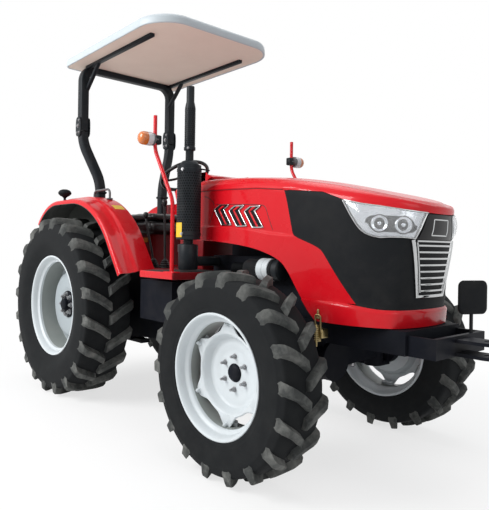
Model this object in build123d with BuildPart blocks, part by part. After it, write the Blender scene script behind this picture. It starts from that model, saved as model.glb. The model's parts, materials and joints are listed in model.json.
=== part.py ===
from build123d import *
import os

os.makedirs("parts", exist_ok=True)

# Driving dimensions in millimetres. X points forward, Y to the tractor's left, Z up, the ground is Z 0.
wheelbase = 2125
front_reach = 1060
rear_reach = 915
running_gap = 0.05
pivot_gap = 0.3
swing_gap = 6

# Front wheels
front_radius = 548
front_width = 285
front_track = 1490
front_rim_width = 260
front_flange_radius = 327.5
front_disc_inset = 150
front_hub_radius = 51
front_hub_boss = 24
front_lug_height = 32
front_lug_pairs = 18
front_lug_width = 36
front_lug_half_angle = 6.8
front_sectors = 30
dish_radius = 213
dish_depth = 58
tab_count = 8
tab_width = 84
tab_ring_radius = 262

# Rear wheels
rear_radius = 720
rear_width = 410
rear_track = 1310
rear_rim_width = 330
rear_flange_radius = 405
rear_disc_inset = 255
rear_hub_radius = 112
rear_hub_boss = 60
rear_lug_height = 38
rear_lug_pairs = 20
rear_lug_width = 44
rear_lug_half_angle = 6.2
rear_sectors = 32

# Common wheel sections
belly_share = 0.42
tread_share = 0.9
lug_reach_share = 0.97
lug_overlap = 8
lug_sink = 12
sector_share = 0.2
lip_width = 30
rim_wall = 24
rim_step = 16
disc_thick = 12
spindle_radius = 40
spindle_length = 50

# Steering
kingpin_y = 560
kingpin_radius = 25
steer_arm = 170
tie_rod_radius = 14
tie_pin_radius = 12

# Hood, measured from the front axle
hood_half_width = 345
hood_wall = 10
hood_rear = -815
hood_rear_top = 1680
hood_mid = 100
hood_mid_top = 1605
hood_lip = 780
hood_lip_top = 1445
hood_lip_height = 45
hood_bevel = 45
grille_face = 747
grille_lean = 63
skirt_rear = 235
skirt_bottom = 825
hood_rear_bottom = 1263
hood_hinge_x = -780
hood_hinge_z = 1600
hinge_pin_radius = 9

# Operator's station, lengthwise places measured from the rear axle unless named front
platform_top = 1050
platform_thick = 25
platform_half_width = 700
platform_front = -610
platform_rear = 565
wing_rear = 960
fender_inner = 410
fender_outer = 700
fender_top = 1622
fender_thick = 10

# Roll bar and canopy, lengthwise places measured from the rear axle
post_y = 470
post_size = 76
post_x = -165
post_foot_x = -80
post_foot_y = 335
fold_z = 2265
crossbar_z = 2735
canopy_bottom = 2790
canopy_front = 1140
canopy_rear = -295
canopy_half_width = 575
canopy_rise = 75
canopy_wall = 8

# Rear linkage
link_y = 400
link_front_z = 450
lift_arm = 300
rod_drop = 570
link_pin_radius = 14
link_eye_bore = 14.35
rod_pin_radius = 12

# Derived places
overall_length = front_reach + wheelbase + rear_reach
front_x = overall_length / 2 - front_reach
rear_x = front_x - wheelbase


def axle_height(radius, lug_pairs, lug_half_angle):
    """Height of a wheel's axle when it stands on the two lug ends nearest the ground."""
    return (Vector(radius, 0, 0).rotate(Axis.Z, 180 / lug_pairs - lug_half_angle)).X


front_z = axle_height(front_radius, front_lug_pairs, front_lug_half_angle)
rear_z = axle_height(rear_radius, rear_lug_pairs, rear_lug_half_angle)


def save(builder, label):
    """Labels a finished sub-part and writes it."""
    builder.part.label = label
    export_step(builder.part, "parts/" + label + ".step")


def axial_plane(x, y, z):
    """Plane whose X runs along the wheel axle and whose Y runs up the radius."""
    return Plane(origin=(x, y, z), x_dir=(0, 1, 0), z_dir=(1, 0, 0))


def side_plane(y):
    """Plane of the side view at the given Y, with X forward and Y up."""
    return Plane.XZ.offset(-y)


def build_tyre(
    radius, width, rim_width, flange_radius, lug_height, lug_pairs, lug_width, lug_half_angle, sectors
):
    """Tyre about its own axle along Z: mitred carcass sectors in a ring with two rows of chevron lugs."""
    half = width / 2
    belly = flange_radius + belly_share * (radius - flange_radius)
    tread = radius - lug_height
    lug_tip = Vector(radius, 0, 0).rotate(Axis.Z, lug_half_angle)
    half_step = 180 / sectors
    mitre = Vector(0, 1, 0).rotate(Axis.Z, half_step)
    with BuildPart() as sector:
        with BuildSketch(Plane(origin=(0, 0, 0), x_dir=(0, 0, 1), z_dir=(0, 1, 0))):
            with BuildLine():
                Polyline(
                    (-rim_width / 2, flange_radius),
                    (-half, belly),
                    (-tread_share * half, tread),
                    (tread_share * half, tread),
                    (half, belly),
                    (rim_width / 2, flange_radius),
                    close=True,
                )
            make_face()
        extrude(amount=sector_share * radius, both=True)
        split(bisect_by=Plane((0, 0, 0), x_dir=(0, 0, 1), z_dir=mitre), keep=Keep.BOTTOM)
        split(bisect_by=Plane((0, 0, 0), x_dir=(0, 0, 1), z_dir=(-mitre.X, mitre.Y, 0)), keep=Keep.TOP)
    with BuildPart() as lug:
        with BuildSketch(Plane(origin=(lug_tip.X, 0, 0), x_dir=(0, 1, 0), z_dir=(1, 0, 0))):
            with BuildLine():
                Polyline(
                    (lug_tip.Y, -lug_overlap),
                    (lug_width - lug_tip.Y, lug_reach_share * half),
                    (-lug_tip.Y, lug_reach_share * half),
                    (lug_tip.Y - lug_width, -lug_overlap),
                    close=True,
                )
            make_face()
        extrude(amount=-(lug_height + lug_sink))
    other_lug = mirror(lug.part, about=Plane.XY, mode=Mode.PRIVATE)
    with BuildPart() as tyre:
        with PolarLocations(0, sectors):
            add(sector.part)
        with PolarLocations(0, lug_pairs):
            add(lug.part)
        with PolarLocations(0, lug_pairs, start_angle=180 / lug_pairs):
            add(other_lug)
    return tyre.part


def build_rim(label, x, y, z, side, rim_width, flange_radius, inset, hub_radius, hub_boss, dished):
    """Rim barrel with a stepped outer lip, wheel disc, hub and the stub shaft that turns in the axle end."""
    half = rim_width / 2
    seat = flange_radius - rim_wall
    bore = seat - rim_step
    face = half - inset
    back = face - disc_thick
    edge = dish_radius if dished else bore + rim_step / 2
    with BuildPart() as rim:
        with BuildSketch(axial_plane(x, y, z)):
            with BuildLine():
                Polyline(
                    (-side * half, bore),
                    (-side * half, flange_radius),
                    (side * half, flange_radius),
                    (side * half, seat),
                    (side * (half - lip_width), seat),
                    (side * (half - lip_width), bore),
                    close=True,
                )
            make_face()
            with BuildLine():
                Polyline(
                    (side * (face + hub_boss), 0),
                    (side * (face + hub_boss), hub_radius),
                    (side * face, hub_radius),
                    (side * face, edge),
                    (side * back, edge),
                    (side * back, spindle_radius),
                    (side * (back - spindle_length), spindle_radius),
                    (side * (back - spindle_length), 0),
                    close=True,
                )
            make_face()
        revolve(axis=Axis((x, y, z), (0, 1, 0)))
        if dished:
            foot_y = y + side * (face - dish_depth)
            with BuildSketch(Plane(origin=(x, foot_y, z), x_dir=(1, 0, 0), z_dir=(0, side, 0))):
                Circle(tab_ring_radius)
                with PolarLocations((bore + rim_step / 2) / 2, tab_count):
                    Rectangle(bore + rim_step / 2, tab_width)
                Circle(dish_radius - disc_thick, mode=Mode.SUBTRACT)
            extrude(amount=disc_thick)
            with BuildSketch(Plane(origin=(x, foot_y, z), x_dir=(1, 0, 0), z_dir=(0, side, 0))):
                Circle(dish_radius)
                Circle(dish_radius - disc_thick, mode=Mode.SUBTRACT)
            extrude(amount=dish_depth)
    save(rim, label)


# Wheels: one tyre for each axle, set on both sides
front_tyre = build_tyre(
    front_radius, front_width, front_rim_width, front_flange_radius, front_lug_height,
    front_lug_pairs, front_lug_width, front_lug_half_angle, front_sectors,
)
rear_tyre = build_tyre(
    rear_radius, rear_width, rear_rim_width, rear_flange_radius, rear_lug_height,
    rear_lug_pairs, rear_lug_width, rear_lug_half_angle, rear_sectors,
)
for side, hand in ((-1, "right"), (1, "left")):
    front_place = (front_x, side * front_track / 2, front_z)
    rear_place = (rear_x, side * rear_track / 2, rear_z)
    with BuildPart() as front_wheel:
        with Locations(Plane(origin=front_place, x_dir=(0, 0, 1), z_dir=(0, 1, 0))):
            add(front_tyre)
    save(front_wheel, "front_tyre_" + hand)
    with BuildPart() as rear_wheel:
        with Locations(Plane(origin=rear_place, x_dir=(0, 0, 1), z_dir=(0, 1, 0))):
            add(rear_tyre)
    save(rear_wheel, "rear_tyre_" + hand)
    build_rim(
        "front_rim_" + hand, *front_place, side, front_rim_width, front_flange_radius,
        front_disc_inset, front_hub_radius, front_hub_boss, True,
    )
    build_rim(
        "rear_rim_" + hand, *rear_place, side, rear_rim_width, rear_flange_radius,
        rear_disc_inset, rear_hub_radius, rear_hub_boss, False,
    )

# Front axle: cast beam with the differential, a rocking block under the frame and the kingpin ends
beam_half = 52
beam_end = 46
beam_root = 60
diff_radius = 125
diff_half = 120
diff_length = 230
beam_slope = 90
axle_end_radius = 62
axle_end_half = 85
pin_reach = 26
pivot_block_half = 90
frame_bottom = 700
with BuildPart() as front_axle:
    with BuildSketch(Plane.YZ.offset(front_x)):
        with BuildLine():
            Polyline(
                (0, front_z - diff_half),
                (diff_half, front_z - diff_half),
                (diff_half + beam_slope, front_z - beam_root),
                (kingpin_y, front_z - beam_end),
                (kingpin_y, front_z + beam_end),
                (diff_half + beam_slope, front_z + beam_root),
                (0, front_z + beam_root),
                close=True,
            )
        make_face()
        mirror(about=Plane.YZ)
    extrude(amount=beam_half, both=True)
    with Locations((front_x, 0, front_z)):
        Cylinder(diff_radius, diff_length, rotation=(0, 90, 0))
    with BuildSketch(Plane.XY.offset(front_z)):
        with Locations((front_x, 0)):
            Rectangle(2 * pivot_block_half, 2 * pivot_block_half)
    extrude(amount=frame_bottom - front_z)
    with Locations((front_x, kingpin_y, front_z), (front_x, -kingpin_y, front_z)):
        Cylinder(axle_end_radius, 2 * axle_end_half)
        Cylinder(kingpin_radius, 2 * (axle_end_half + pin_reach))
save(front_axle, "front_axle")

# Knuckles with the steering arm, kingpin eyes and the final drive drum
eye_plate = 25
eye_gap = 1
knuckle_width = 120
back_y = 650
back_thick = 26
drum_radius = 112
arm_width = 52
eye_low = axle_end_half + eye_gap
disc_inner_y = front_track / 2 + front_rim_width / 2 - front_disc_inset - disc_thick
drum_face_y = disc_inner_y - swing_gap
arm_z = front_z - eye_low - eye_plate
tie_pin_length = 44


def build_knuckle(side, label):
    """Fork above and below the axle end, closed outside by the drum that carries the wheel."""
    with BuildPart() as knuckle:
        for z in (front_z + eye_low, arm_z):
            with BuildSketch(Plane.XY.offset(z)):
                with Locations((front_x, side * (kingpin_y + back_y) / 2)):
                    Rectangle(knuckle_width, back_y - kingpin_y)
                with Locations((front_x, side * kingpin_y)):
                    Circle(knuckle_width / 2)
            extrude(amount=eye_plate)
        with BuildSketch(Plane.XY.offset(arm_z)):
            with Locations((front_x - steer_arm / 2, side * kingpin_y)):
                Rectangle(steer_arm, arm_width)
            with Locations((front_x - steer_arm, side * kingpin_y)):
                Circle(arm_width / 2)
        extrude(amount=eye_plate)
        with Locations((front_x - steer_arm, side * kingpin_y, arm_z - tie_pin_length / 2)):
            Cylinder(tie_pin_radius, tie_pin_length)
        with Locations((front_x, side * back_y, front_z)):
            Box(knuckle_width, back_thick, 2 * (eye_low + eye_plate))
        drum = drum_face_y - back_y
        with Locations((front_x, side * (back_y + drum / 2), front_z)):
            Cylinder(drum_radius, drum, rotation=(90, 0, 0))
        with Locations((front_x, side * kingpin_y, front_z)):
            Cylinder(kingpin_radius + running_gap, 4 * (eye_low + eye_plate), mode=Mode.SUBTRACT)
        with Locations((front_x, side * drum_face_y, front_z)):
            Cylinder(
                spindle_radius + running_gap, 2 * (spindle_length + swing_gap),
                rotation=(90, 0, 0), mode=Mode.SUBTRACT,
            )
    save(knuckle, label)


build_knuckle(-1, "knuckle_right")
build_knuckle(1, "knuckle_left")

# Tie rod between the steering arms
tie_eye_radius = 24
tie_eye_height = 34
tie_eye_drop = 4
tie_rod_sink = 6
tie_z = arm_z - tie_eye_drop - tie_eye_height / 2
tie_half = kingpin_y - tie_eye_radius + tie_rod_sink
with BuildPart() as tie_rod:
    with Locations((front_x - steer_arm, 0, tie_z)):
        Cylinder(tie_rod_radius, 2 * tie_half, rotation=(90, 0, 0))
    with Locations((front_x - steer_arm, -kingpin_y, tie_z), (front_x - steer_arm, kingpin_y, tie_z)):
        Cylinder(tie_eye_radius, tie_eye_height)
    with Locations((front_x - steer_arm, -kingpin_y, tie_z)):
        Cylinder(tie_pin_radius + running_gap, 2 * tie_eye_height, mode=Mode.SUBTRACT)
    with Locations((front_x - steer_arm, kingpin_y, tie_z)):
        Cylinder(tie_pin_radius + pivot_gap, 2 * tie_eye_height, mode=Mode.SUBTRACT)
save(tie_rod, "tie_rod")

# Front frame: a trough of two rails over a floor plate
rail_half = 270
rail_thick = 70
frame_floor = 40
frame_top = 820
frame_front = 720
frame_rear = -300
with BuildPart() as front_frame:
    with BuildSketch(side_plane(0)):
        with Locations((front_x + (frame_front + frame_rear) / 2, (frame_top + frame_bottom) / 2)):
            Rectangle(frame_front - frame_rear, frame_top - frame_bottom)
    extrude(amount=rail_half, both=True)
    with BuildSketch(Plane.XY.offset(frame_bottom + frame_floor)):
        with Locations((front_x + (frame_front + frame_rear) / 2, 0)):
            Rectangle(frame_front - frame_rear - 2 * rail_thick, 2 * (rail_half - rail_thick))
    extrude(amount=frame_top, mode=Mode.SUBTRACT)
save(front_frame, "front_frame")

# Front bracket: an open box with the two tow plates and their pin hole
bracket_front = 865
bracket_half = 250
bracket_top = 800
bracket_bottom = 700
bracket_wall = 24
tow_half = 70
tow_plate = 16
tow_gap = 50
tow_root = 12
tow_hole_radius = 16
tow_mid_z = 745
tow_hole_x = front_x + front_reach - tow_half
with BuildPart() as tow_bracket:
    with BuildSketch(Plane.XY.offset(bracket_bottom)):
        with Locations((front_x + (frame_front + bracket_front) / 2, 0)):
            Rectangle(bracket_front - frame_front, 2 * bracket_half)
    extrude(amount=bracket_top - bracket_bottom)
    with BuildSketch(Plane.XY.offset(bracket_bottom + tow_plate)):
        with Locations((front_x + (frame_front + bracket_front - bracket_wall) / 2, 0)):
            Rectangle(bracket_front - frame_front - bracket_wall, 2 * (bracket_half - tow_plate))
    extrude(amount=bracket_top, mode=Mode.SUBTRACT)
    for z in (tow_mid_z - tow_gap / 2 - tow_plate, tow_mid_z + tow_gap / 2):
        with BuildSketch(Plane.XY.offset(z)):
            with Locations(((front_x + bracket_front - tow_root + tow_hole_x) / 2, 0)):
                Rectangle(tow_hole_x - front_x - bracket_front + tow_root, 2 * tow_half)
            with Locations((tow_hole_x, 0)):
                Circle(tow_half)
        extrude(amount=tow_plate)
    with Locations((tow_hole_x, 0, tow_mid_z)):
        Cylinder(tow_hole_radius, 2 * (tow_gap + tow_plate), mode=Mode.SUBTRACT)
save(tow_bracket, "tow_bracket")

# Engine as one block over the sump, with the rocker cover, side manifold, filter and front pulley
engine_rear = -780
engine_front = 260
engine_half = 215
sump_half = 150
sump_bottom = 590
engine_base = frame_top
engine_top = 1270
head_drop = 110
cover_half = 95
cover_inset = 60
manifold_depth = 40
manifold_height = 70
manifold_z = 1120
filter_seat = 12
filter_radius = 48
filter_length = 150
filter_x = -520
filter_z = 930
pulley_radius = 95
pulley_depth = 40
pulley_z = 960
with BuildPart() as engine:
    with BuildSketch(Plane.XY.offset(engine_base)):
        with Locations((front_x + (engine_rear + engine_front) / 2, 0)):
            Rectangle(engine_front - engine_rear, 2 * engine_half)
    extrude(amount=engine_top - head_drop - engine_base)
    with BuildSketch(Plane.XY.offset(engine_top - head_drop)):
        with Locations((front_x + (engine_rear + engine_front) / 2, 0)):
            Rectangle(engine_front - engine_rear - 2 * cover_inset, 2 * cover_half)
    extrude(amount=head_drop)
    with BuildSketch(Plane.XY.offset(sump_bottom)):
        with Locations((front_x + (engine_rear + frame_rear) / 2, 0)):
            Rectangle(frame_rear - engine_rear, 2 * sump_half)
    extrude(amount=engine_base - sump_bottom)
    manifold_x = front_x + (engine_rear + engine_front) / 2
    with Locations((manifold_x, engine_half + manifold_depth / 2, manifold_z)):
        Box(engine_front - engine_rear - 4 * cover_inset, manifold_depth, manifold_height)
    with Locations((front_x + filter_x, filter_seat - engine_half - filter_length / 2, filter_z)):
        Cylinder(filter_radius, filter_length, rotation=(90, 0, 0))
    with Locations((front_x + engine_front + pulley_depth / 2, 0, pulley_z)):
        Cylinder(pulley_radius, pulley_depth, rotation=(0, 90, 0))
save(engine, "engine_block")

# Radiator with its header tank, on the frame rails
radiator_rear = 400
radiator_front = 520
radiator_half = 235
radiator_top = 1330
header_height = 70
header_grow = 15
with BuildPart() as radiator:
    radiator_x = front_x + (radiator_rear + radiator_front) / 2
    with BuildSketch(Plane.XY.offset(frame_top)):
        with Locations((radiator_x, 0)):
            Rectangle(radiator_front - radiator_rear, 2 * radiator_half)
    extrude(amount=radiator_top - frame_top)
    with BuildSketch(Plane.XY.offset(radiator_top - header_height)):
        with Locations((radiator_x, 0)):
            Rectangle(radiator_front - radiator_rear + 2 * header_grow, 2 * (radiator_half - header_grow))
    extrude(amount=header_height)
save(radiator, "radiator")

# Transmission housing with the lift cover, lower link pins, top link ears and the power take-off stub
housing_half = 190
housing_rear = -225
housing_bell = 180
housing_belly = 260
bell_low = 560
bell_high = 1000
belly_low = 520
gear_low = 440
gear_rear_low = 470
deck_z = 960
cover_top = 1090
cover_front = 150
cover_rear = -70
lift_behind = 190
lift_x = rear_x - lift_behind
lift_z = link_front_z + rod_drop
lift_shaft_radius = 35
link_behind = 110
link_x = rear_x - link_behind
pto_z = 640
pto_radius = 17.45
pto_reach = 90
boss_radius = 32
boss_collar = 16
boss_reach = 60
link_thick = 30
boss_gap = 3
top_ear_z = 840
top_ear_gap = 52
top_ear_thick = 16
top_ear_radius = 36
top_ear_reach = 70
top_pin_bore = 12.85
with BuildPart() as housing:
    with BuildSketch(side_plane(0)):
        with BuildLine():
            Polyline(
                (front_x + engine_rear, bell_low),
                (front_x + engine_rear, bell_high),
                (front_x + engine_rear - housing_bell, deck_z),
                (rear_x + platform_rear, deck_z),
                (lift_x + cover_front, cover_top),
                (lift_x + cover_rear, cover_top),
                (rear_x + housing_rear, deck_z),
                (rear_x + housing_rear, gear_rear_low),
                (rear_x + housing_belly, gear_low),
                (front_x + engine_rear - housing_belly, belly_low),
                close=True,
            )
        make_face()
    extrude(amount=housing_half, both=True)
    with Locations((link_x, 0, link_front_z)):
        Cylinder(boss_radius + boss_collar, 2 * (housing_half + boss_reach), rotation=(90, 0, 0))
        Cylinder(boss_radius, 2 * (link_y - link_thick / 2 - boss_gap), rotation=(90, 0, 0))
        Cylinder(link_pin_radius, 2 * (link_y + link_thick), rotation=(90, 0, 0))
    with Locations((rear_x + housing_rear - pto_reach / 2, 0, pto_z)):
        Cylinder(pto_radius, pto_reach, rotation=(0, 90, 0))
    for side in (-1, 1):
        with BuildSketch(side_plane(side * (top_ear_gap + top_ear_thick) / 2)):
            with Locations((rear_x + housing_rear - top_ear_reach, top_ear_z)):
                Circle(top_ear_radius)
            with Locations((rear_x + housing_rear - top_ear_reach / 2, top_ear_z)):
                Rectangle(top_ear_reach, 2 * top_ear_radius)
        extrude(amount=top_ear_thick / 2, both=True)
    with Locations((rear_x + housing_rear - top_ear_reach, 0, top_ear_z)):
        Cylinder(top_pin_bore, 2 * top_ear_gap, rotation=(90, 0, 0), mode=Mode.SUBTRACT)
    with Locations((lift_x, 0, lift_z)):
        Cylinder(
            lift_shaft_radius + running_gap, 3 * housing_half, rotation=(90, 0, 0), mode=Mode.SUBTRACT
        )
save(housing, "transmission_housing")

# Rear axle trumpets with the brake housings
trumpet_radius = 95
brake_radius = 175
brake_reach = 110
rear_disc_y = rear_track / 2 + rear_rim_width / 2 - rear_disc_inset - disc_thick
trumpet_face_y = rear_disc_y - swing_gap
with BuildPart() as rear_axle:
    trumpet = trumpet_face_y - housing_half
    with Locations((rear_x, housing_half + brake_reach / 2, rear_z)):
        Cylinder(brake_radius, brake_reach, rotation=(90, 0, 0))
    with Locations((rear_x, housing_half + trumpet / 2, rear_z)):
        Cylinder(trumpet_radius, trumpet, rotation=(90, 0, 0))
    with Locations((rear_x, trumpet_face_y, rear_z)):
        Cylinder(
            spindle_radius + running_gap, 2 * (spindle_length + swing_gap),
            rotation=(90, 0, 0), mode=Mode.SUBTRACT,
        )
    mirror(about=Plane.XZ)
save(rear_axle, "rear_axle")

# Front drive shaft from the transmission to the axle's differential
shaft_radius = 32
shaft_z = 540
with BuildPart() as drive_shaft:
    shaft_front = front_x - diff_length / 2
    shaft_rear = front_x + engine_rear - housing_belly
    with Locations(((shaft_front + shaft_rear) / 2, 0, shaft_z)):
        Cylinder(shaft_radius, shaft_front - shaft_rear, rotation=(0, 90, 0))
    add(housing.part, mode=Mode.SUBTRACT)
save(drive_shaft, "drive_shaft")

# Hood form shared by the shell and the pieces let into it
nose_start = 350
side_arc_radius = 520
side_arc_sweep = 40
arch_points = ((96, 984), (-38, 1141), (-310, 1222))
face_top = hood_lip_top - hood_lip_height
face_slope = grille_lean / (face_top - skirt_bottom)


def hood_solid(inset):
    """Solid inside the hood's skin, drawn in by the inset and left open below and behind when drawn in."""
    drop = skirt_bottom / 2 if inset else 0
    back = housing_bell if inset else 0
    width = hood_half_width - inset
    rear = front_x + hood_rear - back
    foot_lean = face_slope * (face_top - inset - skirt_bottom + drop)
    with BuildLine(side_plane(0), mode=Mode.PRIVATE):
        crown = ThreePointArc(
            (front_x + hood_rear, hood_rear_top - inset),
            (front_x + hood_mid, hood_mid_top - inset),
            (front_x + hood_lip, hood_lip_top - inset),
        )
    with BuildPart() as form:
        with BuildSketch(Plane.XY):
            with BuildLine():
                side_line = Line((rear, -width), (front_x + nose_start, -width))
                centre = (front_x + nose_start, -hood_half_width + side_arc_radius)
                cheek = CenterArc(centre, side_arc_radius - inset, -90, side_arc_sweep)
                turn = cheek % 1
                nose_radius = -(cheek @ 1).Y / turn.X
                nose_centre = (cheek @ 1) + Vector(-turn.Y, turn.X) * nose_radius
                nose = CenterArc(nose_centre, nose_radius, side_arc_sweep - 90, 90 - side_arc_sweep)
                Polyline(nose @ 1, (rear, 0), side_line @ 0)
            make_face()
            mirror(about=Plane.XZ)
        extrude(amount=2 * hood_rear_top)
        with BuildSketch(side_plane(0)):
            with Locations((crown.arc_center.X, crown.arc_center.Z)):
                Circle(crown.radius)
        extrude(amount=hood_half_width, both=True, mode=Mode.INTERSECT)
        crown_face = form.faces().sort_by(Axis.Z)[-1]
        shoulders = crown_face.edges().filter_by(lambda edge: abs(edge.center().X - rear) > 1)
        chamfer(shoulders, hood_bevel - inset)
        with BuildSketch(side_plane(0)):
            with BuildLine():
                Polyline(
                    (rear, hood_rear_bottom - drop),
                    (rear, 2 * hood_rear_top),
                    (front_x + hood_lip - inset, 2 * hood_rear_top),
                    (front_x + hood_lip - inset, hood_lip_top - inset),
                    (front_x + grille_face - inset, face_top - inset),
                    (front_x + grille_face - inset - foot_lean, skirt_bottom - drop),
                    (front_x + skirt_rear - back, skirt_bottom - drop),
                )
                Spline(
                    (front_x + skirt_rear - back, skirt_bottom - drop),
                    *[(front_x + px - back, pz - drop) for px, pz in arch_points],
                    (rear, hood_rear_bottom - drop),
                )
            make_face()
        extrude(amount=hood_half_width, both=True, mode=Mode.INTERSECT)
    return form.part


hood_outer = hood_solid(0)
hood_skin = hood_outer - hood_solid(hood_wall)

# Outlines of the pieces let into the nose, in the side view from the front axle
lip_back = (395, 1477)
lip_front = (830, 1394)
lamp_low_front = (830, 1276)
lamp_low_back = (576, 1276)
lamp_corner = (510, 1312)
panel_top_back = (-17, 1556)
panel_low_front = (830, 935)
panel_low_back = (487, 935)
panel_shoulder = (265, 1222)
panel_waist = (60, 1296)
emblem_half_top = 117
emblem_top = 1420
grille_top = 1270
grille_bottom = 980
grille_half_top = 168
grille_half_bottom = 130
grille_frame = 14
grille_bars = 8
grille_bar = 14
grille_depth = 300


def side_prism(*outline):
    """Prism through the whole width under a side view outline."""
    with BuildPart() as prism:
        with BuildSketch(side_plane(0)):
            with BuildLine():
                Polyline(*[(front_x + px, pz) for px, pz in outline], close=True)
            make_face()
        extrude(amount=hood_half_width + hood_bevel, both=True)
    return prism.part


def grille_prism(inset):
    """Prism along the tractor under the grille's outline, drawn in by the inset."""
    with BuildPart() as prism:
        with BuildSketch(Plane.YZ.offset(front_x + grille_face - grille_depth / 2)):
            with BuildLine():
                Polyline(
                    (inset - grille_half_top, grille_top - inset),
                    (grille_half_top - inset, grille_top - inset),
                    (grille_half_bottom - inset, grille_bottom + inset),
                    (inset - grille_half_bottom, grille_bottom + inset),
                    close=True,
                )
            make_face()
        extrude(amount=grille_depth)
    return prism.part


lamp_prism = side_prism(lip_back, lip_front, lamp_low_front, lamp_low_back, lamp_corner)
panel_prism = side_prism(
    panel_top_back, lip_back, lip_front, panel_low_front, panel_low_back, panel_shoulder, panel_waist
)
grille_cut = grille_prism(0)
with BuildPart() as emblem:
    with BuildSketch(Plane.YZ.offset(front_x + grille_face - grille_depth / 2)):
        with BuildLine():
            Polyline(
                (-emblem_half_top, emblem_top),
                (emblem_half_top, emblem_top),
                (grille_half_top, grille_top),
                (-grille_half_top, grille_top),
                close=True,
            )
        make_face()
    extrude(amount=grille_depth)

# Headlamps, black nose panel and barred grille let into the skin
with BuildPart() as headlamps:
    add(hood_skin & lamp_prism)
    add(emblem.part, mode=Mode.SUBTRACT)
    add(grille_cut, mode=Mode.SUBTRACT)
save(headlamps, "headlamps")

with BuildPart() as nose_panel:
    add(hood_skin & panel_prism)
    add(headlamps.part, mode=Mode.SUBTRACT)
    add(grille_cut, mode=Mode.SUBTRACT)
save(nose_panel, "hood_nose_panel")

with BuildPart() as grille:
    add(hood_skin & grille_cut)
    add(grille_prism(grille_frame), mode=Mode.SUBTRACT)
    bar_pitch = (grille_top - grille_bottom - grille_frame) / grille_bars
    for index in range(1, grille_bars):
        bar_z = grille_bottom + grille_frame / 2 + index * bar_pitch
        bar_x = front_x + grille_face - face_slope * (face_top - bar_z) - hood_wall / 2
        with BuildSketch(Plane.XY.offset(bar_z)):
            with Locations((bar_x, 0)):
                Rectangle(grille_bar, 2 * grille_half_top)
        extrude(amount=grille_bar / 2, both=True)
    add(grille_cut, mode=Mode.INTERSECT)
save(grille, "grille")

hinge_ear_y = 150
hinge_ear_thick = 24
hinge_ear_radius = 24
hinge_ear_drop = 2
hinge_ear_top = hood_rear_top - hinge_ear_drop
with BuildPart() as hood_shell:
    add(hood_skin)
    add(panel_prism, mode=Mode.SUBTRACT)
    for side in (-1, 1):
        with BuildSketch(side_plane(side * hinge_ear_y)):
            with Locations((front_x + hood_hinge_x, hood_hinge_z)):
                Circle(hinge_ear_radius)
            with Locations((front_x + hood_hinge_x, (hood_hinge_z + hinge_ear_top) / 2)):
                Rectangle(2 * hinge_ear_radius, hinge_ear_top - hood_hinge_z)
        extrude(amount=hinge_ear_thick / 2, both=True)
    with Locations((front_x + hood_hinge_x, 0, hood_hinge_z)):
        Cylinder(
            hinge_pin_radius + running_gap, 2 * hood_half_width, rotation=(90, 0, 0), mode=Mode.SUBTRACT
        )
save(hood_shell, "hood_shell")

# Kinked vent fins stepping down both sides of the hood: a short upper arm and a long lower one
vent_count = 3
vent_thick = 6
vent_x = -631
vent_z = 1463
vent_width = 90
vent_rise = 27
vent_rise_run = 50
vent_drop = 102
vent_drop_run = 74
vent_pitch = 143
vent_fall = 10
with BuildPart() as vents:
    for index in range(vent_count):
        kink = front_x + vent_x + index * vent_pitch
        level = vent_z - index * vent_fall
        with BuildSketch(side_plane(-hood_half_width)):
            with BuildLine():
                Polyline(
                    (kink, level),
                    (kink + vent_rise_run, level + vent_rise),
                    (kink + vent_rise_run + vent_width, level + vent_rise),
                    (kink + vent_width, level),
                    (kink + vent_drop_run + vent_width, level - vent_drop),
                    (kink + vent_drop_run, level - vent_drop),
                    close=True,
                )
            make_face()
        extrude(amount=vent_thick)
    mirror(about=Plane.XZ)
save(vents, "hood_vents")

# Toggle latches between the hood's skirt and the frame
latch_x = 285
latch_width = 26
latch_bottom = 715
with BuildPart() as latches:
    with BuildSketch(side_plane(-rail_half)):
        with Locations((front_x + latch_x, (latch_bottom + skirt_bottom) / 2)):
            Rectangle(latch_width, skirt_bottom - latch_bottom - swing_gap)
    extrude(amount=hood_half_width - rail_half)
    mirror(about=Plane.XZ)
save(latches, "hood_latches")

# Air cleaner on the engine's right side, with its intake pipe
cleaner_radius = 66
cleaner_length = 300
cleaner_x = -215
cleaner_z = 1085
intake_radius = 36
intake_length = 120
with BuildPart() as air_cleaner:
    with Locations((front_x + cleaner_x, -engine_half - cleaner_radius, cleaner_z)):
        Cylinder(cleaner_radius, cleaner_length, rotation=(0, 90, 0))
    intake_x = cleaner_x - (cleaner_length + intake_length) / 2
    with Locations((front_x + intake_x, -engine_half - cleaner_radius, cleaner_z)):
        Cylinder(intake_radius, intake_length, rotation=(0, 90, 0))
save(air_cleaner, "air_cleaner")

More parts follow.
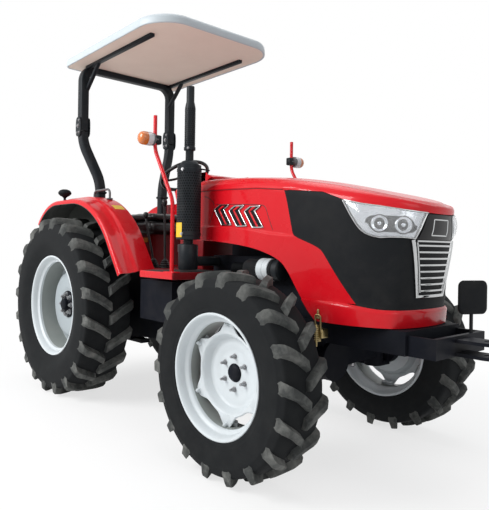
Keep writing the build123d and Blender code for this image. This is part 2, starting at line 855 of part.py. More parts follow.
# Exhaust: outlet pipe from the engine, guarded muffler, neck and guarded stack
exhaust_x = -740
exhaust_y = -475
outlet_z = 1120
outlet_half = 34
muffler_radius = 80
muffler_bottom = 1268
muffler_top = 1745
shoulder_radius = 58
shoulder_top = 1785
neck_radius = 27
guard_radius = 35
guard_bottom = 1860
guard_top = 2165
stack_top = 2280
with BuildPart() as exhaust:
    with BuildSketch(axial_plane(front_x + exhaust_x, exhaust_y, 0)):
        with BuildLine():
            Polyline(
                (0, outlet_z - outlet_half),
                (outlet_half, outlet_z - outlet_half),
                (outlet_half, muffler_bottom),
                (muffler_radius, muffler_bottom),
                (muffler_radius, muffler_top),
                (shoulder_radius, muffler_top),
                (shoulder_radius, shoulder_top),
                (neck_radius, shoulder_top),
                (neck_radius, guard_bottom),
                (guard_radius, guard_bottom),
                (guard_radius, guard_top),
                (neck_radius, guard_top),
                (neck_radius, stack_top),
                (0, stack_top),
                close=True,
            )
        make_face()
    revolve(axis=Axis((front_x + exhaust_x, exhaust_y, 0), (0, 0, 1)))
    outlet_reach = -exhaust_y - engine_half
    with Locations((front_x + exhaust_x, (exhaust_y - engine_half) / 2, outlet_z)):
        Box(2 * outlet_half, outlet_reach, 2 * outlet_half)
save(exhaust, "exhaust")

# Battery box on the right and fuel tank on the left, hung from the housing
tank_bottom = 640
tank_top = 980
tank_rear = 895
tank_length = 430
tank_outer = 560
tank_corner = 40
box_rear = 945
box_length = 380
box_bottom = 700
with BuildPart() as battery_box:
    with BuildSketch(Plane.XY.offset(box_bottom)):
        with Locations((rear_x + box_rear + box_length / 2, -(housing_half + tank_outer) / 2)):
            Rectangle(box_length, tank_outer - housing_half)
    extrude(amount=tank_top - box_bottom)
save(battery_box, "battery_box")

with BuildPart() as fuel_tank:
    with BuildSketch(side_plane((housing_half + tank_outer) / 2)):
        with Locations((rear_x + tank_rear + tank_length / 2, (tank_bottom + tank_top) / 2)):
            RectangleRounded(tank_length, tank_top - tank_bottom, tank_corner)
    extrude(amount=(tank_outer - housing_half) / 2, both=True)
save(fuel_tank, "fuel_tank")

# Operator's platform with edge beams and feet on the housing
foot_size = 60
foot_y = 120
foot_front = -1000
edge_height = 48
edge_thick = 14
tunnel_length = 260
tunnel_gap = 15
platform_bottom = platform_top - platform_thick
with BuildPart() as platform:
    with BuildSketch(Plane.XY.offset(platform_bottom)):
        with BuildLine():
            Polyline(
                (front_x + platform_front, 0),
                (front_x + platform_front, platform_half_width),
                (rear_x + wing_rear, platform_half_width),
                (rear_x + wing_rear, fender_inner),
                (rear_x + platform_rear, fender_inner),
                (rear_x + platform_rear, 0),
                close=True,
            )
        make_face()
        mirror(about=Plane.XZ)
        with Locations((front_x + platform_front, 0)):
            Rectangle(2 * tunnel_length, 2 * (engine_half + tunnel_gap), mode=Mode.SUBTRACT)
    extrude(amount=platform_thick)
    with BuildSketch(Plane.XY.offset(platform_bottom)):
        for side in (-1, 1):
            with Locations((
                (front_x + platform_front + rear_x + wing_rear) / 2,
                side * (platform_half_width - edge_thick / 2),
            )):
                Rectangle(front_x + platform_front - rear_x - wing_rear, edge_thick)
    extrude(amount=-edge_height)
    with BuildSketch(Plane.XY.offset(deck_z)):
        for side in (-1, 1):
            with Locations((front_x + foot_front, side * foot_y)):
                Rectangle(foot_size, foot_size)
            with Locations((rear_x + platform_rear + foot_size, side * foot_y)):
                Rectangle(foot_size, foot_size)
    extrude(amount=platform_bottom - deck_z)
save(platform, "platform")

# Fenders: rolled sheet over the tyre with a folded outer lip and an inner wall
fender_rear_arc = 568
fender_rear_sweep = 48.5
fender_flat_rear = -180
fender_front_arc = 800
fender_front_sweep = 55
fender_flat_front = 82
fender_skirt = 300
fender_lip = 34
wall_front = 500
wall_rear = -200


def fender_edges(shrink):
    """Fender line in the side view from the rear tip to the front foot, moved in by the shrink."""
    rear_centre = (rear_x + fender_flat_rear, fender_top - fender_rear_arc)
    front_centre = (rear_x + fender_flat_front, fender_top - fender_front_arc)
    rear = CenterArc(rear_centre, fender_rear_arc - shrink, 90, fender_rear_sweep)
    Line(rear @ 0, (front_centre[0], fender_top - shrink))
    front = CenterArc(front_centre, fender_front_arc - shrink, 90, -fender_front_sweep)
    foot = Line(front @ 1, front @ 1 + (front % 1) * fender_skirt)
    return rear @ 1, foot @ 1


def build_fender(side, label):
    """Fender sheet over the tyre, its folded lip and the wall that closes the operator's station."""
    with BuildPart() as fender:
        with BuildSketch(side_plane(side * (fender_inner + fender_outer) / 2)):
            with BuildLine():
                tip, foot = fender_edges(0)
                inner_tip, inner_foot = fender_edges(fender_thick)
                Line(tip, inner_tip)
                Line(foot, inner_foot)
            make_face()
        extrude(amount=(fender_outer - fender_inner) / 2, both=True)
        with BuildSketch(side_plane(side * (fender_outer - fender_thick / 2))):
            with BuildLine():
                tip, foot = fender_edges(0)
                inner_tip, inner_foot = fender_edges(fender_lip)
                Line(tip, inner_tip)
                Line(foot, inner_foot)
            make_face()
        extrude(amount=fender_thick / 2, both=True)
        with BuildSketch(side_plane(side * (fender_inner + fender_thick / 2))):
            with BuildLine():
                tip, foot = fender_edges(0)
                wall_foot = (rear_x + wall_front, platform_bottom)
                Polyline(foot, wall_foot, (rear_x + wall_rear, platform_bottom), tip)
            make_face()
        extrude(amount=fender_thick / 2, both=True)
    save(fender, label)
    return fender.part


fender_sheets = [build_fender(-1, "fender_right"), build_fender(1, "fender_left")]

# Grab handles and rear marker discs on the fenders
handle_y = 450
handle_size = 18
handle_front = 300
handle_rear = 20
handle_top = 1690
disc_x = -150
disc_y = 640
disc_radius = 58
disc_height = 44
disc_stalk = 46
disc_stalk_size = 18
front_foot_run = handle_front - handle_size / 2 - fender_flat_front
front_foot_z = fender_top - fender_front_arc + (fender_front_arc**2 - front_foot_run**2) ** 0.5
with BuildPart() as fender_fittings:
    for side in (-1, 1):
        with BuildSketch(side_plane(side * handle_y)):
            with BuildLine():
                Polyline(
                    (rear_x + handle_rear, fender_top),
                    (rear_x + handle_rear, handle_top),
                    (rear_x + handle_front, handle_top),
                    (rear_x + handle_front, front_foot_z - fender_thick / 2),
                    (rear_x + handle_front - handle_size, front_foot_z - fender_thick / 2),
                    (rear_x + handle_front - handle_size, handle_top - handle_size),
                    (rear_x + handle_rear + handle_size, handle_top - handle_size),
                    (rear_x + handle_rear + handle_size, fender_top),
                    close=True,
                )
            make_face()
        extrude(amount=handle_size / 2, both=True)
        with BuildSketch(Plane.XY.offset(fender_top)):
            with Locations((rear_x + disc_x, side * disc_y)):
                Rectangle(disc_stalk_size, disc_stalk_size)
        extrude(amount=disc_stalk)
        with Locations((rear_x + disc_x, side * disc_y, fender_top + disc_stalk + disc_height / 2)):
            Cylinder(disc_radius, disc_height)
    for sheet in fender_sheets:
        add(sheet, mode=Mode.SUBTRACT)
save(fender_fittings, "fender_fittings")

# Roll bar: fixed lower legs with hinge cheeks
cheek_thick = 10
cheek_gap = 0.3
cheek_half = 45
cheek_up = 60
cheek_down = 110
cheek_inset = 10
fold_pin_radius = 14
fold_pin_reach = 8
leg_drop = 70
leg_top = fold_z - leg_drop
leg_bend = 2140
leg_straight = 1760
saddle_reach = 110
saddle_thick = 28
with BuildPart() as rops_legs:
    for side in (-1, 1):
        y = side * post_y
        with BuildLine() as leg_path:
            Polyline(
                (rear_x + post_x, y, leg_top),
                (rear_x + post_x, y, leg_bend),
                (rear_x + post_foot_x, side * post_foot_y, leg_straight),
                (rear_x + post_foot_x, side * post_foot_y, rear_z),
            )
        with BuildSketch(Plane(origin=leg_path.line @ 0, x_dir=(1, 0, 0), z_dir=leg_path.line % 0)):
            Rectangle(post_size, post_size)
        sweep(path=leg_path.line, transition=Transition.RIGHT)
        saddle_z = rear_z + trumpet_radius
        with Locations((rear_x, side * post_foot_y, saddle_z)):
            Box(2 * saddle_reach, post_size, 2 * saddle_thick)
        for face in (-1, 1):
            cheek_y = y + face * (post_size / 2 + cheek_gap + cheek_thick / 2)
            with Locations((rear_x + post_x, cheek_y, fold_z + (cheek_up - cheek_down) / 2)):
                Box(2 * cheek_half, cheek_thick, cheek_up + cheek_down)
            shim_y = y + face * (post_size / 2 + cheek_gap / 2)
            with Locations((rear_x + post_x, shim_y, (leg_top + fold_z - cheek_down) / 2)):
                Box(2 * (cheek_half - cheek_inset), cheek_gap, leg_top - fold_z + cheek_down)
        with Locations((rear_x + post_x, y, fold_z)):
            Cylinder(
                fold_pin_radius, post_size + 2 * (cheek_thick + fold_pin_reach), rotation=(90, 0, 0)
            )
    add(rear_axle.part, mode=Mode.SUBTRACT)
save(rops_legs, "rops_legs")

# Canopy as a crowned shell with rounded corners
canopy_corner = 110
canopy_taper = 20
canopy_inset = 11
canopy_x = rear_x + (canopy_front + canopy_rear) / 2
canopy_length = canopy_front - canopy_rear
with BuildPart() as canopy:
    with BuildSketch(Plane.XY.offset(canopy_bottom)):
        with Locations((canopy_x, 0)):
            RectangleRounded(canopy_length, 2 * canopy_half_width, canopy_corner)
    extrude(amount=canopy_rise, taper=canopy_taper)
    with BuildSketch(Plane.XY.offset(canopy_bottom)):
        with Locations((canopy_x, 0)):
            RectangleRounded(
                canopy_length - 2 * canopy_inset, 2 * (canopy_half_width - canopy_inset),
                canopy_corner - canopy_inset,
            )
    extrude(amount=canopy_rise - canopy_wall, taper=canopy_taper, mode=Mode.SUBTRACT)
save(canopy, "canopy")

# Folding hoop with rounded corners, canopy rails, braces and the bars that carry the canopy
hoop_foot = 42
hoop_corner = 120
rail_z = 2745
rail_size = 40
rail_front = 955
bearer_size = 50
brace_low = 2480
brace_reach = 330
with BuildPart() as rops_hoop:
    hoop_top = crossbar_z + post_size / 2
    with BuildSketch(Plane.YZ.offset(rear_x + post_x)):
        with BuildLine():
            outer_half = post_y + post_size / 2
            inner_half = post_y - post_size / 2
            outer = FilletPolyline(
                (outer_half, fold_z - hoop_foot), (outer_half, hoop_top),
                (-outer_half, hoop_top), (-outer_half, fold_z - hoop_foot), radius=hoop_corner,
            )
            inner = FilletPolyline(
                (inner_half, fold_z - hoop_foot), (inner_half, hoop_top - post_size),
                (-inner_half, hoop_top - post_size), (-inner_half, fold_z - hoop_foot),
                radius=hoop_corner - post_size / 2,
            )
            Line(outer @ 0, inner @ 0)
            Line(outer @ 1, inner @ 1)
        make_face()
    extrude(amount=post_size / 2, both=True)
    for side in (-1, 1):
        rail_y = side * (post_y - hoop_corner / 2)
        with Locations((rear_x + (post_x + rail_front) / 2, rail_y, rail_z)):
            Box(rail_front - post_x, rail_size, rail_size)
        with BuildSketch(side_plane(side * (post_y - post_size / 2 + rail_size / 2))):
            with BuildLine():
                Polyline(
                    (rear_x + post_x, brace_low),
                    (rear_x + post_x + brace_reach, rail_z),
                    (rear_x + post_x + brace_reach + rail_size, rail_z),
                    (rear_x + post_x, brace_low - rail_size),
                    close=True,
                )
            make_face()
        extrude(amount=rail_size / 2, both=True)
    with BuildSketch(Plane.XY.offset(rail_z)):
        with Locations((rear_x + post_x, 0), (rear_x + rail_front - bearer_size / 2, 0)):
            Rectangle(bearer_size, 2 * (post_y - hoop_corner / 2))
    extrude(amount=canopy_bottom + canopy_rise - canopy_wall - rail_z)
    with Locations((rear_x + post_x, 0, fold_z)):
        Cylinder(
            fold_pin_radius + running_gap, 4 * post_y, rotation=(90, 0, 0), mode=Mode.SUBTRACT
        )
save(rops_hoop, "rops_hoop")

# Dashboard with the hood's hinge arms and pins, steering column and wheel, measured from the front axle
dash_front = -905
dash_rear = -1080
dash_half = 210
dash_shelf = 1400
cowl_front = -835
cowl_low = 1704
cowl_edge = 1724
cowl_crest = (-1060, 1764)
cowl_rear = (-1290, 1650)
cowl_foot = (-1265, 1540)
hinge_arm_thick = 16
hinge_arm_gap = 10
hinge_arm_y = hinge_ear_y + hinge_ear_thick / 2 + hinge_arm_gap + hinge_arm_thick / 2
hinge_arm_height = 60
hinge_arm_past = 20
hinge_pin_length = 100
with BuildPart() as dashboard:
    with BuildSketch(side_plane(0)):
        with BuildLine():
            Polyline(
                (front_x + dash_front, platform_top),
                (front_x + dash_front, cowl_low),
                (front_x + cowl_front, cowl_low),
                (front_x + cowl_front, cowl_edge),
                *[(front_x + px, pz) for px, pz in (cowl_crest, cowl_rear, cowl_foot)],
                (front_x + dash_rear, dash_shelf),
                (front_x + dash_rear, platform_top),
                close=True,
            )
        make_face()
    extrude(amount=dash_half, both=True)
    arm_length = hood_hinge_x + hinge_arm_past - dash_front
    arm_x = front_x + dash_front + arm_length / 2
    for side in (-1, 1):
        with Locations((arm_x, side * hinge_arm_y, hood_hinge_z - hinge_arm_past)):
            Box(arm_length, hinge_arm_thick, hinge_arm_height)
        with Locations((front_x + hood_hinge_x, side * hinge_ear_y, hood_hinge_z)):
            Cylinder(hinge_pin_radius, hinge_pin_length, rotation=(90, 0, 0))
save(dashboard, "dashboard")

wheel_radius = 195
wheel_grip = 13
wheel_sides = 28
wheel_bevel = 7
wheel_x = -1410
wheel_z = 1790
column_tilt = 30
column_radius = 32
column_length = 360
shaft_stub = 60
shaft_stub_radius = 16
hub_radius = 38
hub_half = 20
spoke_width = 30
spoke_half = 8
column_plane = Plane(
    origin=(front_x + wheel_x, 0, wheel_z),
    x_dir=(0, 1, 0),
    z_dir=Vector(-1, 0, 0).rotate(Axis.Y, 90 - column_tilt),
)
with BuildPart() as steering_column:
    with BuildSketch(column_plane.offset(-shaft_stub)):
        Circle(column_radius)
    extrude(amount=-column_length)
    with BuildSketch(column_plane.offset(-shaft_stub)):
        Circle(shaft_stub_radius)
    extrude(amount=shaft_stub)
    add(dashboard.part, mode=Mode.SUBTRACT)
save(steering_column, "steering_column")

with BuildPart() as steering_wheel:
    with BuildSketch(column_plane.offset(-wheel_grip)):
        RegularPolygon(wheel_radius + wheel_grip, wheel_sides)
        RegularPolygon(wheel_radius - wheel_grip, wheel_sides, mode=Mode.SUBTRACT)
    extrude(amount=2 * wheel_grip)
    chamfer(steering_wheel.faces().filter_by(column_plane).edges(), wheel_bevel)
    with BuildSketch(column_plane.offset(-spoke_half)):
        with PolarLocations(wheel_radius / 2, 3):
            Rectangle(wheel_radius, spoke_width)
    extrude(amount=2 * spoke_half)
    with BuildSketch(column_plane.offset(-hub_half)):
        Circle(hub_radius)
    extrude(amount=2 * hub_half)
    with BuildSketch(column_plane.offset(-hub_half)):
        Circle(shaft_stub_radius + running_gap)
    extrude(amount=2 * hub_half, mode=Mode.SUBTRACT)
save(steering_wheel, "steering_wheel")

# Seat on a pedestal over the housing
seat_x = 345
seat_half = 235
seat_depth = 440
seat_bevel = 22
pedestal_length = 300
pedestal_width = 320
cushion_bottom = 1370
cushion_top = 1425
backrest_thick = 65
backrest_inset = 12
with BuildPart() as seat_base:
    with BuildSketch(Plane.XY.offset(deck_z)):
        with Locations((rear_x + seat_x, 0)):
            Rectangle(pedestal_length, pedestal_width)
    extrude(amount=cushion_bottom - deck_z)
    add(housing.part, mode=Mode.SUBTRACT)
save(seat_base, "seat_base")

with BuildPart() as seat_cushion:
    with Locations((rear_x + seat_x, 0, (cushion_bottom + cushion_top) / 2)):
        Box(seat_depth, 2 * seat_half, cushion_top - cushion_bottom)
    chamfer(seat_cushion.edges(), seat_bevel)
save(seat_cushion, "seat_cushion")

with BuildPart() as seat_back:
    with Locations((rear_x + seat_x, 0, cushion_top + backrest_thick / 2)):
        Box(seat_depth - 2 * backrest_inset, 2 * (seat_half - backrest_inset), backrest_thick)
    chamfer(seat_back.edges(), seat_bevel)
save(seat_back, "seat_back")

# Gear levers with boots beside the seat
lever_y = -300
lever_places = ((725, 490), (875, 555))
lever_radius = 9
boot_radius = 46
boot_sides = 8
boot_height = 70
boot_taper = 8
knob_radius = 22
knob_height = 46
with BuildPart() as levers:
    for lever_x, lever_height in lever_places:
        with BuildSketch(Plane.XY.offset(platform_top)):
            with Locations((rear_x + lever_x, lever_y)):
                RegularPolygon(boot_radius, boot_sides)
        extrude(amount=boot_height, taper=boot_taper)
        with BuildSketch(Plane.XY.offset(platform_top)):
            with Locations((rear_x + lever_x, lever_y)):
                RegularPolygon(lever_radius, boot_sides)
        extrude(amount=lever_height)
        with BuildSketch(Plane.XY.offset(platform_top + lever_height)):
            with Locations((rear_x + lever_x, lever_y)):
                RegularPolygon(knob_radius, boot_sides)
        extrude(amount=knob_height)
save(levers, "control_levers")

# Clutch and brake pedals on arms from the dashboard
pedal_places = (150, -120, -170)
pedal_z = 1190
pedal_reach = 150
pedal_arm = 14
pedal_drop = 90
pad_length = 60
pad_width = 44
pad_thick = 12
with BuildPart() as pedals:
    for pedal_y in pedal_places:
        arm_foot = front_x + dash_rear - pedal_reach
        with BuildSketch(side_plane(pedal_y)):
            with BuildLine():
                Polyline(
                    (front_x + dash_rear, pedal_z + pedal_drop),
                    (front_x + dash_rear, pedal_z + pedal_drop - 2 * pedal_arm),
                    (arm_foot, pedal_z),
                    (arm_foot, pedal_z + 2 * pedal_arm),
                    close=True,
                )
            make_face()
        extrude(amount=pedal_arm / 2, both=True)
        with Locations((arm_foot, pedal_y, pedal_z + pedal_arm)):
            Box(pad_thick, pad_width, pad_length)
    add(dashboard.part, mode=Mode.SUBTRACT)
save(pedals, "pedals")

# Marker posts at the platform's front corners with their lamps, measured from the front axle
post_base_x = -655
post_upper_x = -863
post_bend_low = 1505
post_bend_high = 1855
marker_y = 670
marker_radius = 16
marker_sides = 8
marker_top = 2080
lamp_z = 1920
lamp_radius = 40
lamp_length = 110
lamp_sides = 16
with BuildPart() as marker_posts:
    for side in (-1, 1):
        with BuildLine() as path:
            Polyline(
                (front_x + post_base_x, side * marker_y, platform_top),
                (front_x + post_base_x, side * marker_y, post_bend_low),
                (front_x + post_upper_x, side * marker_y, post_bend_high),
                (front_x + post_upper_x, side * marker_y, marker_top),
            )
        with BuildSketch(Plane(origin=path.line @ 0, x_dir=(1, 0, 0), z_dir=path.line % 0)):
            RegularPolygon(marker_radius, marker_sides, major_radius=False, rotation=180 / marker_sides)
        sweep(path=path.line, transition=Transition.RIGHT)
save(marker_posts, "marker_posts")

with BuildPart() as marker_lamps:
    for side in (-1, 1):
        with BuildSketch(side_plane(side * (marker_y + marker_radius))):
            with Locations((front_x + post_upper_x, lamp_z)):
                RegularPolygon(lamp_radius, lamp_sides)
        extrude(amount=-side * lamp_length)
save(marker_lamps, "marker_lamps")

# Mirror plate on a flat post at the front bracket's left corner
mirror_post_x = 838
mirror_post_width = 40
mirror_post_thick = 8
mirror_x = 850
mirror_y = 165
mirror_z = 975
mirror_size = 175
mirror_thick = 24
mirror_corner = 35
mirror_post_top = 1040
with BuildPart() as front_mirror:
    with BuildSketch(side_plane(bracket_half - mirror_post_thick / 2)):
        with Locations((front_x + mirror_post_x, (bracket_top + mirror_post_top) / 2)):
            Rectangle(mirror_post_width, mirror_post_top - bracket_top)
    extrude(amount=mirror_post_thick / 2, both=True)
    with BuildSketch(Plane.YZ.offset(front_x + mirror_x)):
        with Locations((mirror_y, mirror_z)):
            RectangleRounded(mirror_size, mirror_size, mirror_corner)
    extrude(amount=mirror_thick / 2, both=True)
save(front_mirror, "front_mirror")

# Three-point linkage: lift arms on their cross shaft, lift rods and lower links
arm_y = 330
arm_thick = 24
arm_depth = 56
arm_hub_radius = 60
rod_y = 365
rod_thick = 22
rod_width = 28
rod_eye_radius = 28
rod_pin_length = 60
eye_radius = 34
link_depth = 70
link_eye_radius = 42
link_tip_x = rear_x - rear_reach + link_eye_radius
rod_foot_x = link_x - lift_arm
with BuildPart() as lift_arms:
    with Locations((lift_x, 0, lift_z)):
        Cylinder(lift_shaft_radius, 2 * arm_y, rotation=(90, 0, 0))
    for side in (-1, 1):
        with BuildSketch(side_plane(side * arm_y)):
            with Locations((lift_x, lift_z)):
                Circle(arm_hub_radius)
            with Locations((lift_x - lift_arm, lift_z)):
                Circle(eye_radius)
            with Locations((lift_x - lift_arm / 2, lift_z)):
                Rectangle(lift_arm, arm_depth)
        extrude(amount=arm_thick / 2, both=True)
        with Locations((lift_x - lift_arm, side * (arm_y + rod_pin_length / 2), lift_z)):
            Cylinder(rod_pin_radius, rod_pin_length, rotation=(90, 0, 0))
save(lift_arms, "lift_arms")

with BuildPart() as lift_rods:
    for side in (-1, 1):
        with BuildSketch(side_plane(side * rod_y)):
            with Locations((lift_x - lift_arm, lift_z), (rod_foot_x, link_front_z)):
                Circle(rod_eye_radius)
            with BuildLine():
                Polyline(
                    (lift_x - lift_arm - rod_width / 2, lift_z),
                    (lift_x - lift_arm + rod_width / 2, lift_z),
                    (rod_foot_x + rod_width / 2, link_front_z),
                    (rod_foot_x - rod_width / 2, link_front_z),
                    close=True,
                )
            make_face()
        extrude(amount=rod_thick / 2, both=True)
    with Locations((lift_x - lift_arm, 0, lift_z)):
        Cylinder(rod_pin_radius + running_gap, 4 * rod_y, rotation=(90, 0, 0), mode=Mode.SUBTRACT)
    with Locations((rod_foot_x, 0, link_front_z)):
        Cylinder(rod_pin_radius + pivot_gap, 4 * rod_y, rotation=(90, 0, 0), mode=Mode.SUBTRACT)
save(lift_rods, "lift_rods")

with BuildPart() as lower_links:
    for side in (-1, 1):
        with BuildSketch(side_plane(side * link_y)):
            with Locations((link_x, link_front_z), (link_tip_x, link_front_z)):
                Circle(link_eye_radius)
            with Locations(((link_x + link_tip_x) / 2, link_front_z)):
                Rectangle(link_x - link_tip_x, link_depth)
        extrude(amount=link_thick / 2, both=True)
        with Locations((rod_foot_x, side * (link_y - rod_pin_length / 2), link_front_z)):
            Cylinder(rod_pin_radius, rod_pin_length, rotation=(90, 0, 0))
    with Locations((link_x, 0, link_front_z)):
        Cylinder(link_pin_radius + running_gap, 4 * link_y, rotation=(90, 0, 0), mode=Mode.SUBTRACT)
    with Locations((link_tip_x, 0, link_front_z)):
        Cylinder(link_eye_bore, 4 * link_y, rotation=(90, 0, 0), mode=Mode.SUBTRACT)
save(lower_links, "lower_links")

# Drawbar under the housing with its hanger
drawbar_z = 370
drawbar_half = 45
drawbar_thick = 32
drawbar_front = 175
drawbar_rear = -665
drawbar_hole = 17
drawbar_hole_inset = 50
hanger_x = -25
hanger_length = 120
hanger_width = 140
with BuildPart() as drawbar:
    with BuildSketch(Plane.XY.offset(drawbar_z - drawbar_thick / 2)):
        with Locations((rear_x + (drawbar_front + drawbar_rear) / 2, 0)):
            Rectangle(drawbar_front - drawbar_rear, 2 * drawbar_half)
    extrude(amount=drawbar_thick)
    with BuildSketch(Plane.XY.offset(drawbar_z)):
        with Locations((rear_x + hanger_x, 0)):
            Rectangle(hanger_length, hanger_width)
    extrude(amount=gear_rear_low - drawbar_z)
    with Locations((rear_x + drawbar_rear + drawbar_hole_inset, 0, drawbar_z)):
        Cylinder(drawbar_hole, 2 * drawbar_thick, mode=Mode.SUBTRACT)
    add(housing.part, mode=Mode.SUBTRACT)
save(drawbar, "drawbar")
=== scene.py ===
import json
import math
import bmesh
import bpy
import numpy as np
from mathutils import Matrix


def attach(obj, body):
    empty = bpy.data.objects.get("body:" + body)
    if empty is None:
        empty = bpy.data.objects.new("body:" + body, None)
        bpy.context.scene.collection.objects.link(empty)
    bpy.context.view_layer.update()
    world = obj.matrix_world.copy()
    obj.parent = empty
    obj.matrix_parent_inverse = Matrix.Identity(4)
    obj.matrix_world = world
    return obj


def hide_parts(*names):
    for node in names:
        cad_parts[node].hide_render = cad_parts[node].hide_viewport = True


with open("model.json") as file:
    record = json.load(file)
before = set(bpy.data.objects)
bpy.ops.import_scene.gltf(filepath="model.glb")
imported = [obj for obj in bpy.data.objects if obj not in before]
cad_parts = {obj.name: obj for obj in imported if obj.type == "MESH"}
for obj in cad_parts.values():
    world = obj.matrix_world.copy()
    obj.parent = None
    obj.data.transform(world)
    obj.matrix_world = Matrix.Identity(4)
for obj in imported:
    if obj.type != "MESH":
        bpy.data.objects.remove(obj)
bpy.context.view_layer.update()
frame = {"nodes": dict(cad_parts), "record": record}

# Wheel centres and pivots as the joints hold them
pivots = {joint["name"]: np.array(joint["pos_m"]) for joint in frame["record"]["behaviour"]["joints"]}
FRONT_X, FRONT_Y, FRONT_Z = pivots["front_spin_left"]
REAR_X, REAR_Y, REAR_Z = pivots["rear_spin_left"]
POST_X, FOLD_Z = pivots["roof_fold"][[0, 2]]
HINGE_X, HINGE_Z = pivots["hood_open"][[0, 2]]
WHEEL = pivots["steering_wheel_turn"]
SIDES = ((-1, "right"), (1, "left"))
TAU = 2 * math.pi


# Shader node groups shared by the finishes
def new_group(name, inputs, outputs):
    """Empty shader node group with float and colour sockets, and its input and output nodes."""
    group = bpy.data.node_groups.new(name, "ShaderNodeTree")
    for label, kind, value in inputs:
        socket = group.interface.new_socket(label, in_out="INPUT", socket_type=kind)
        socket.default_value = value
    for label, kind in outputs:
        group.interface.new_socket(label, in_out="OUTPUT", socket_type=kind)
    return group, group.nodes.new("NodeGroupInput"), group.nodes.new("NodeGroupOutput")


def noise(tree, coordinates, scale_from, detail, roughness=0.5):
    """Noise texture on the given coordinates, its scale linked or set."""
    node = tree.nodes.new("ShaderNodeTexNoise")
    node.inputs["Detail"].default_value = detail
    node.inputs["Roughness"].default_value = roughness
    tree.links.new(coordinates, node.inputs["Vector"])
    if isinstance(scale_from, (int, float)):
        node.inputs["Scale"].default_value = scale_from
    else:
        tree.links.new(scale_from, node.inputs["Scale"])
    return node.outputs["Fac"]


def calc(tree, operation, first, second, clamp=False):
    """One Math node on two links or numbers."""
    node = tree.nodes.new("ShaderNodeMath")
    node.operation = operation
    node.use_clamp = clamp
    for index, value in enumerate((first, second)):
        if isinstance(value, (int, float)):
            node.inputs[index].default_value = value
        else:
            tree.links.new(value, node.inputs[index])
    return node.outputs[0]


def mix_colour(tree, factor, first, second):
    """Mix of two colour links by a factor link."""
    node = tree.nodes.new("ShaderNodeMix")
    node.data_type = "RGBA"
    for socket, value in ((node.inputs["Factor"], factor), (node.inputs["A"], first), (node.inputs["B"], second)):
        tree.links.new(value, socket)
    return node.outputs["Result"]


def build_film_group():
    """Paint or moulded surface: clouded colour, fine skin height, a roughness that follows the clouds."""
    group, inside, outside = new_group(
        "surface_film",
        [("Colour", "NodeSocketColor", (0.5, 0.5, 0.5, 1)), ("Shade", "NodeSocketColor", (0.4, 0.4, 0.4, 1)),
         ("Cloud Scale", "NodeSocketFloat", 3.0), ("Skin Scale", "NodeSocketFloat", 400.0),
         ("Roughness", "NodeSocketFloat", 0.4), ("Roughness Spread", "NodeSocketFloat", 0.15)],
        [("Colour", "NodeSocketColor"), ("Roughness", "NodeSocketFloat"), ("Height", "NodeSocketFloat")],
    )
    place = group.nodes.new("ShaderNodeTexCoord").outputs["Object"]
    cloud = noise(group, place, inside.outputs["Cloud Scale"], 5, 0.6)
    skin = noise(group, place, inside.outputs["Skin Scale"], 3, 0.6)
    colour = mix_colour(group, cloud, inside.outputs["Shade"], inside.outputs["Colour"])
    spread = calc(group, "MULTIPLY", calc(group, "SUBTRACT", cloud, 0.5), inside.outputs["Roughness Spread"])
    group.links.new(colour, outside.inputs["Colour"])
    group.links.new(calc(group, "ADD", inside.outputs["Roughness"], spread, True), outside.inputs["Roughness"])
    group.links.new(skin, outside.inputs["Height"])
    return group


def build_dust_group():
    """Dust that gathers low and in a broken pattern: colour and roughness move towards dust."""
    group, inside, outside = new_group(
        "settled_dust",
        [("Colour", "NodeSocketColor", (0.5, 0.5, 0.5, 1)), ("Roughness", "NodeSocketFloat", 0.4),
         ("Dust", "NodeSocketColor", (0.42, 0.38, 0.33, 1)), ("Amount", "NodeSocketFloat", 0.2),
         ("Top", "NodeSocketFloat", 1.0)],
        [("Colour", "NodeSocketColor"), ("Roughness", "NodeSocketFloat"), ("Mask", "NodeSocketFloat")],
    )
    place = group.nodes.new("ShaderNodeTexCoord").outputs["Object"]
    split = group.nodes.new("ShaderNodeSeparateXYZ")
    group.links.new(place, split.inputs[0])
    fall = calc(group, "SUBTRACT", 1.0, calc(group, "DIVIDE", split.outputs["Z"], inside.outputs["Top"]), True)
    broken = noise(group, place, 9.0, 6, 0.65)
    spots = calc(group, "MULTIPLY", calc(group, "SUBTRACT", broken, 0.42), 4.0, True)
    low = calc(group, "ADD", calc(group, "MULTIPLY", fall, 0.8), 0.2)
    mask = calc(group, "MULTIPLY", calc(group, "MULTIPLY", spots, low), inside.outputs["Amount"], True)
    group.links.new(mix_colour(group, mask, inside.outputs["Colour"], inside.outputs["Dust"]),
                    outside.inputs["Colour"])
    rough = calc(group, "ADD", inside.outputs["Roughness"], calc(group, "MULTIPLY", mask, 0.5), True)
    group.links.new(rough, outside.inputs["Roughness"])
    group.links.new(mask, outside.inputs["Mask"])
    return group


film_group = build_film_group()
dust_group = build_dust_group()


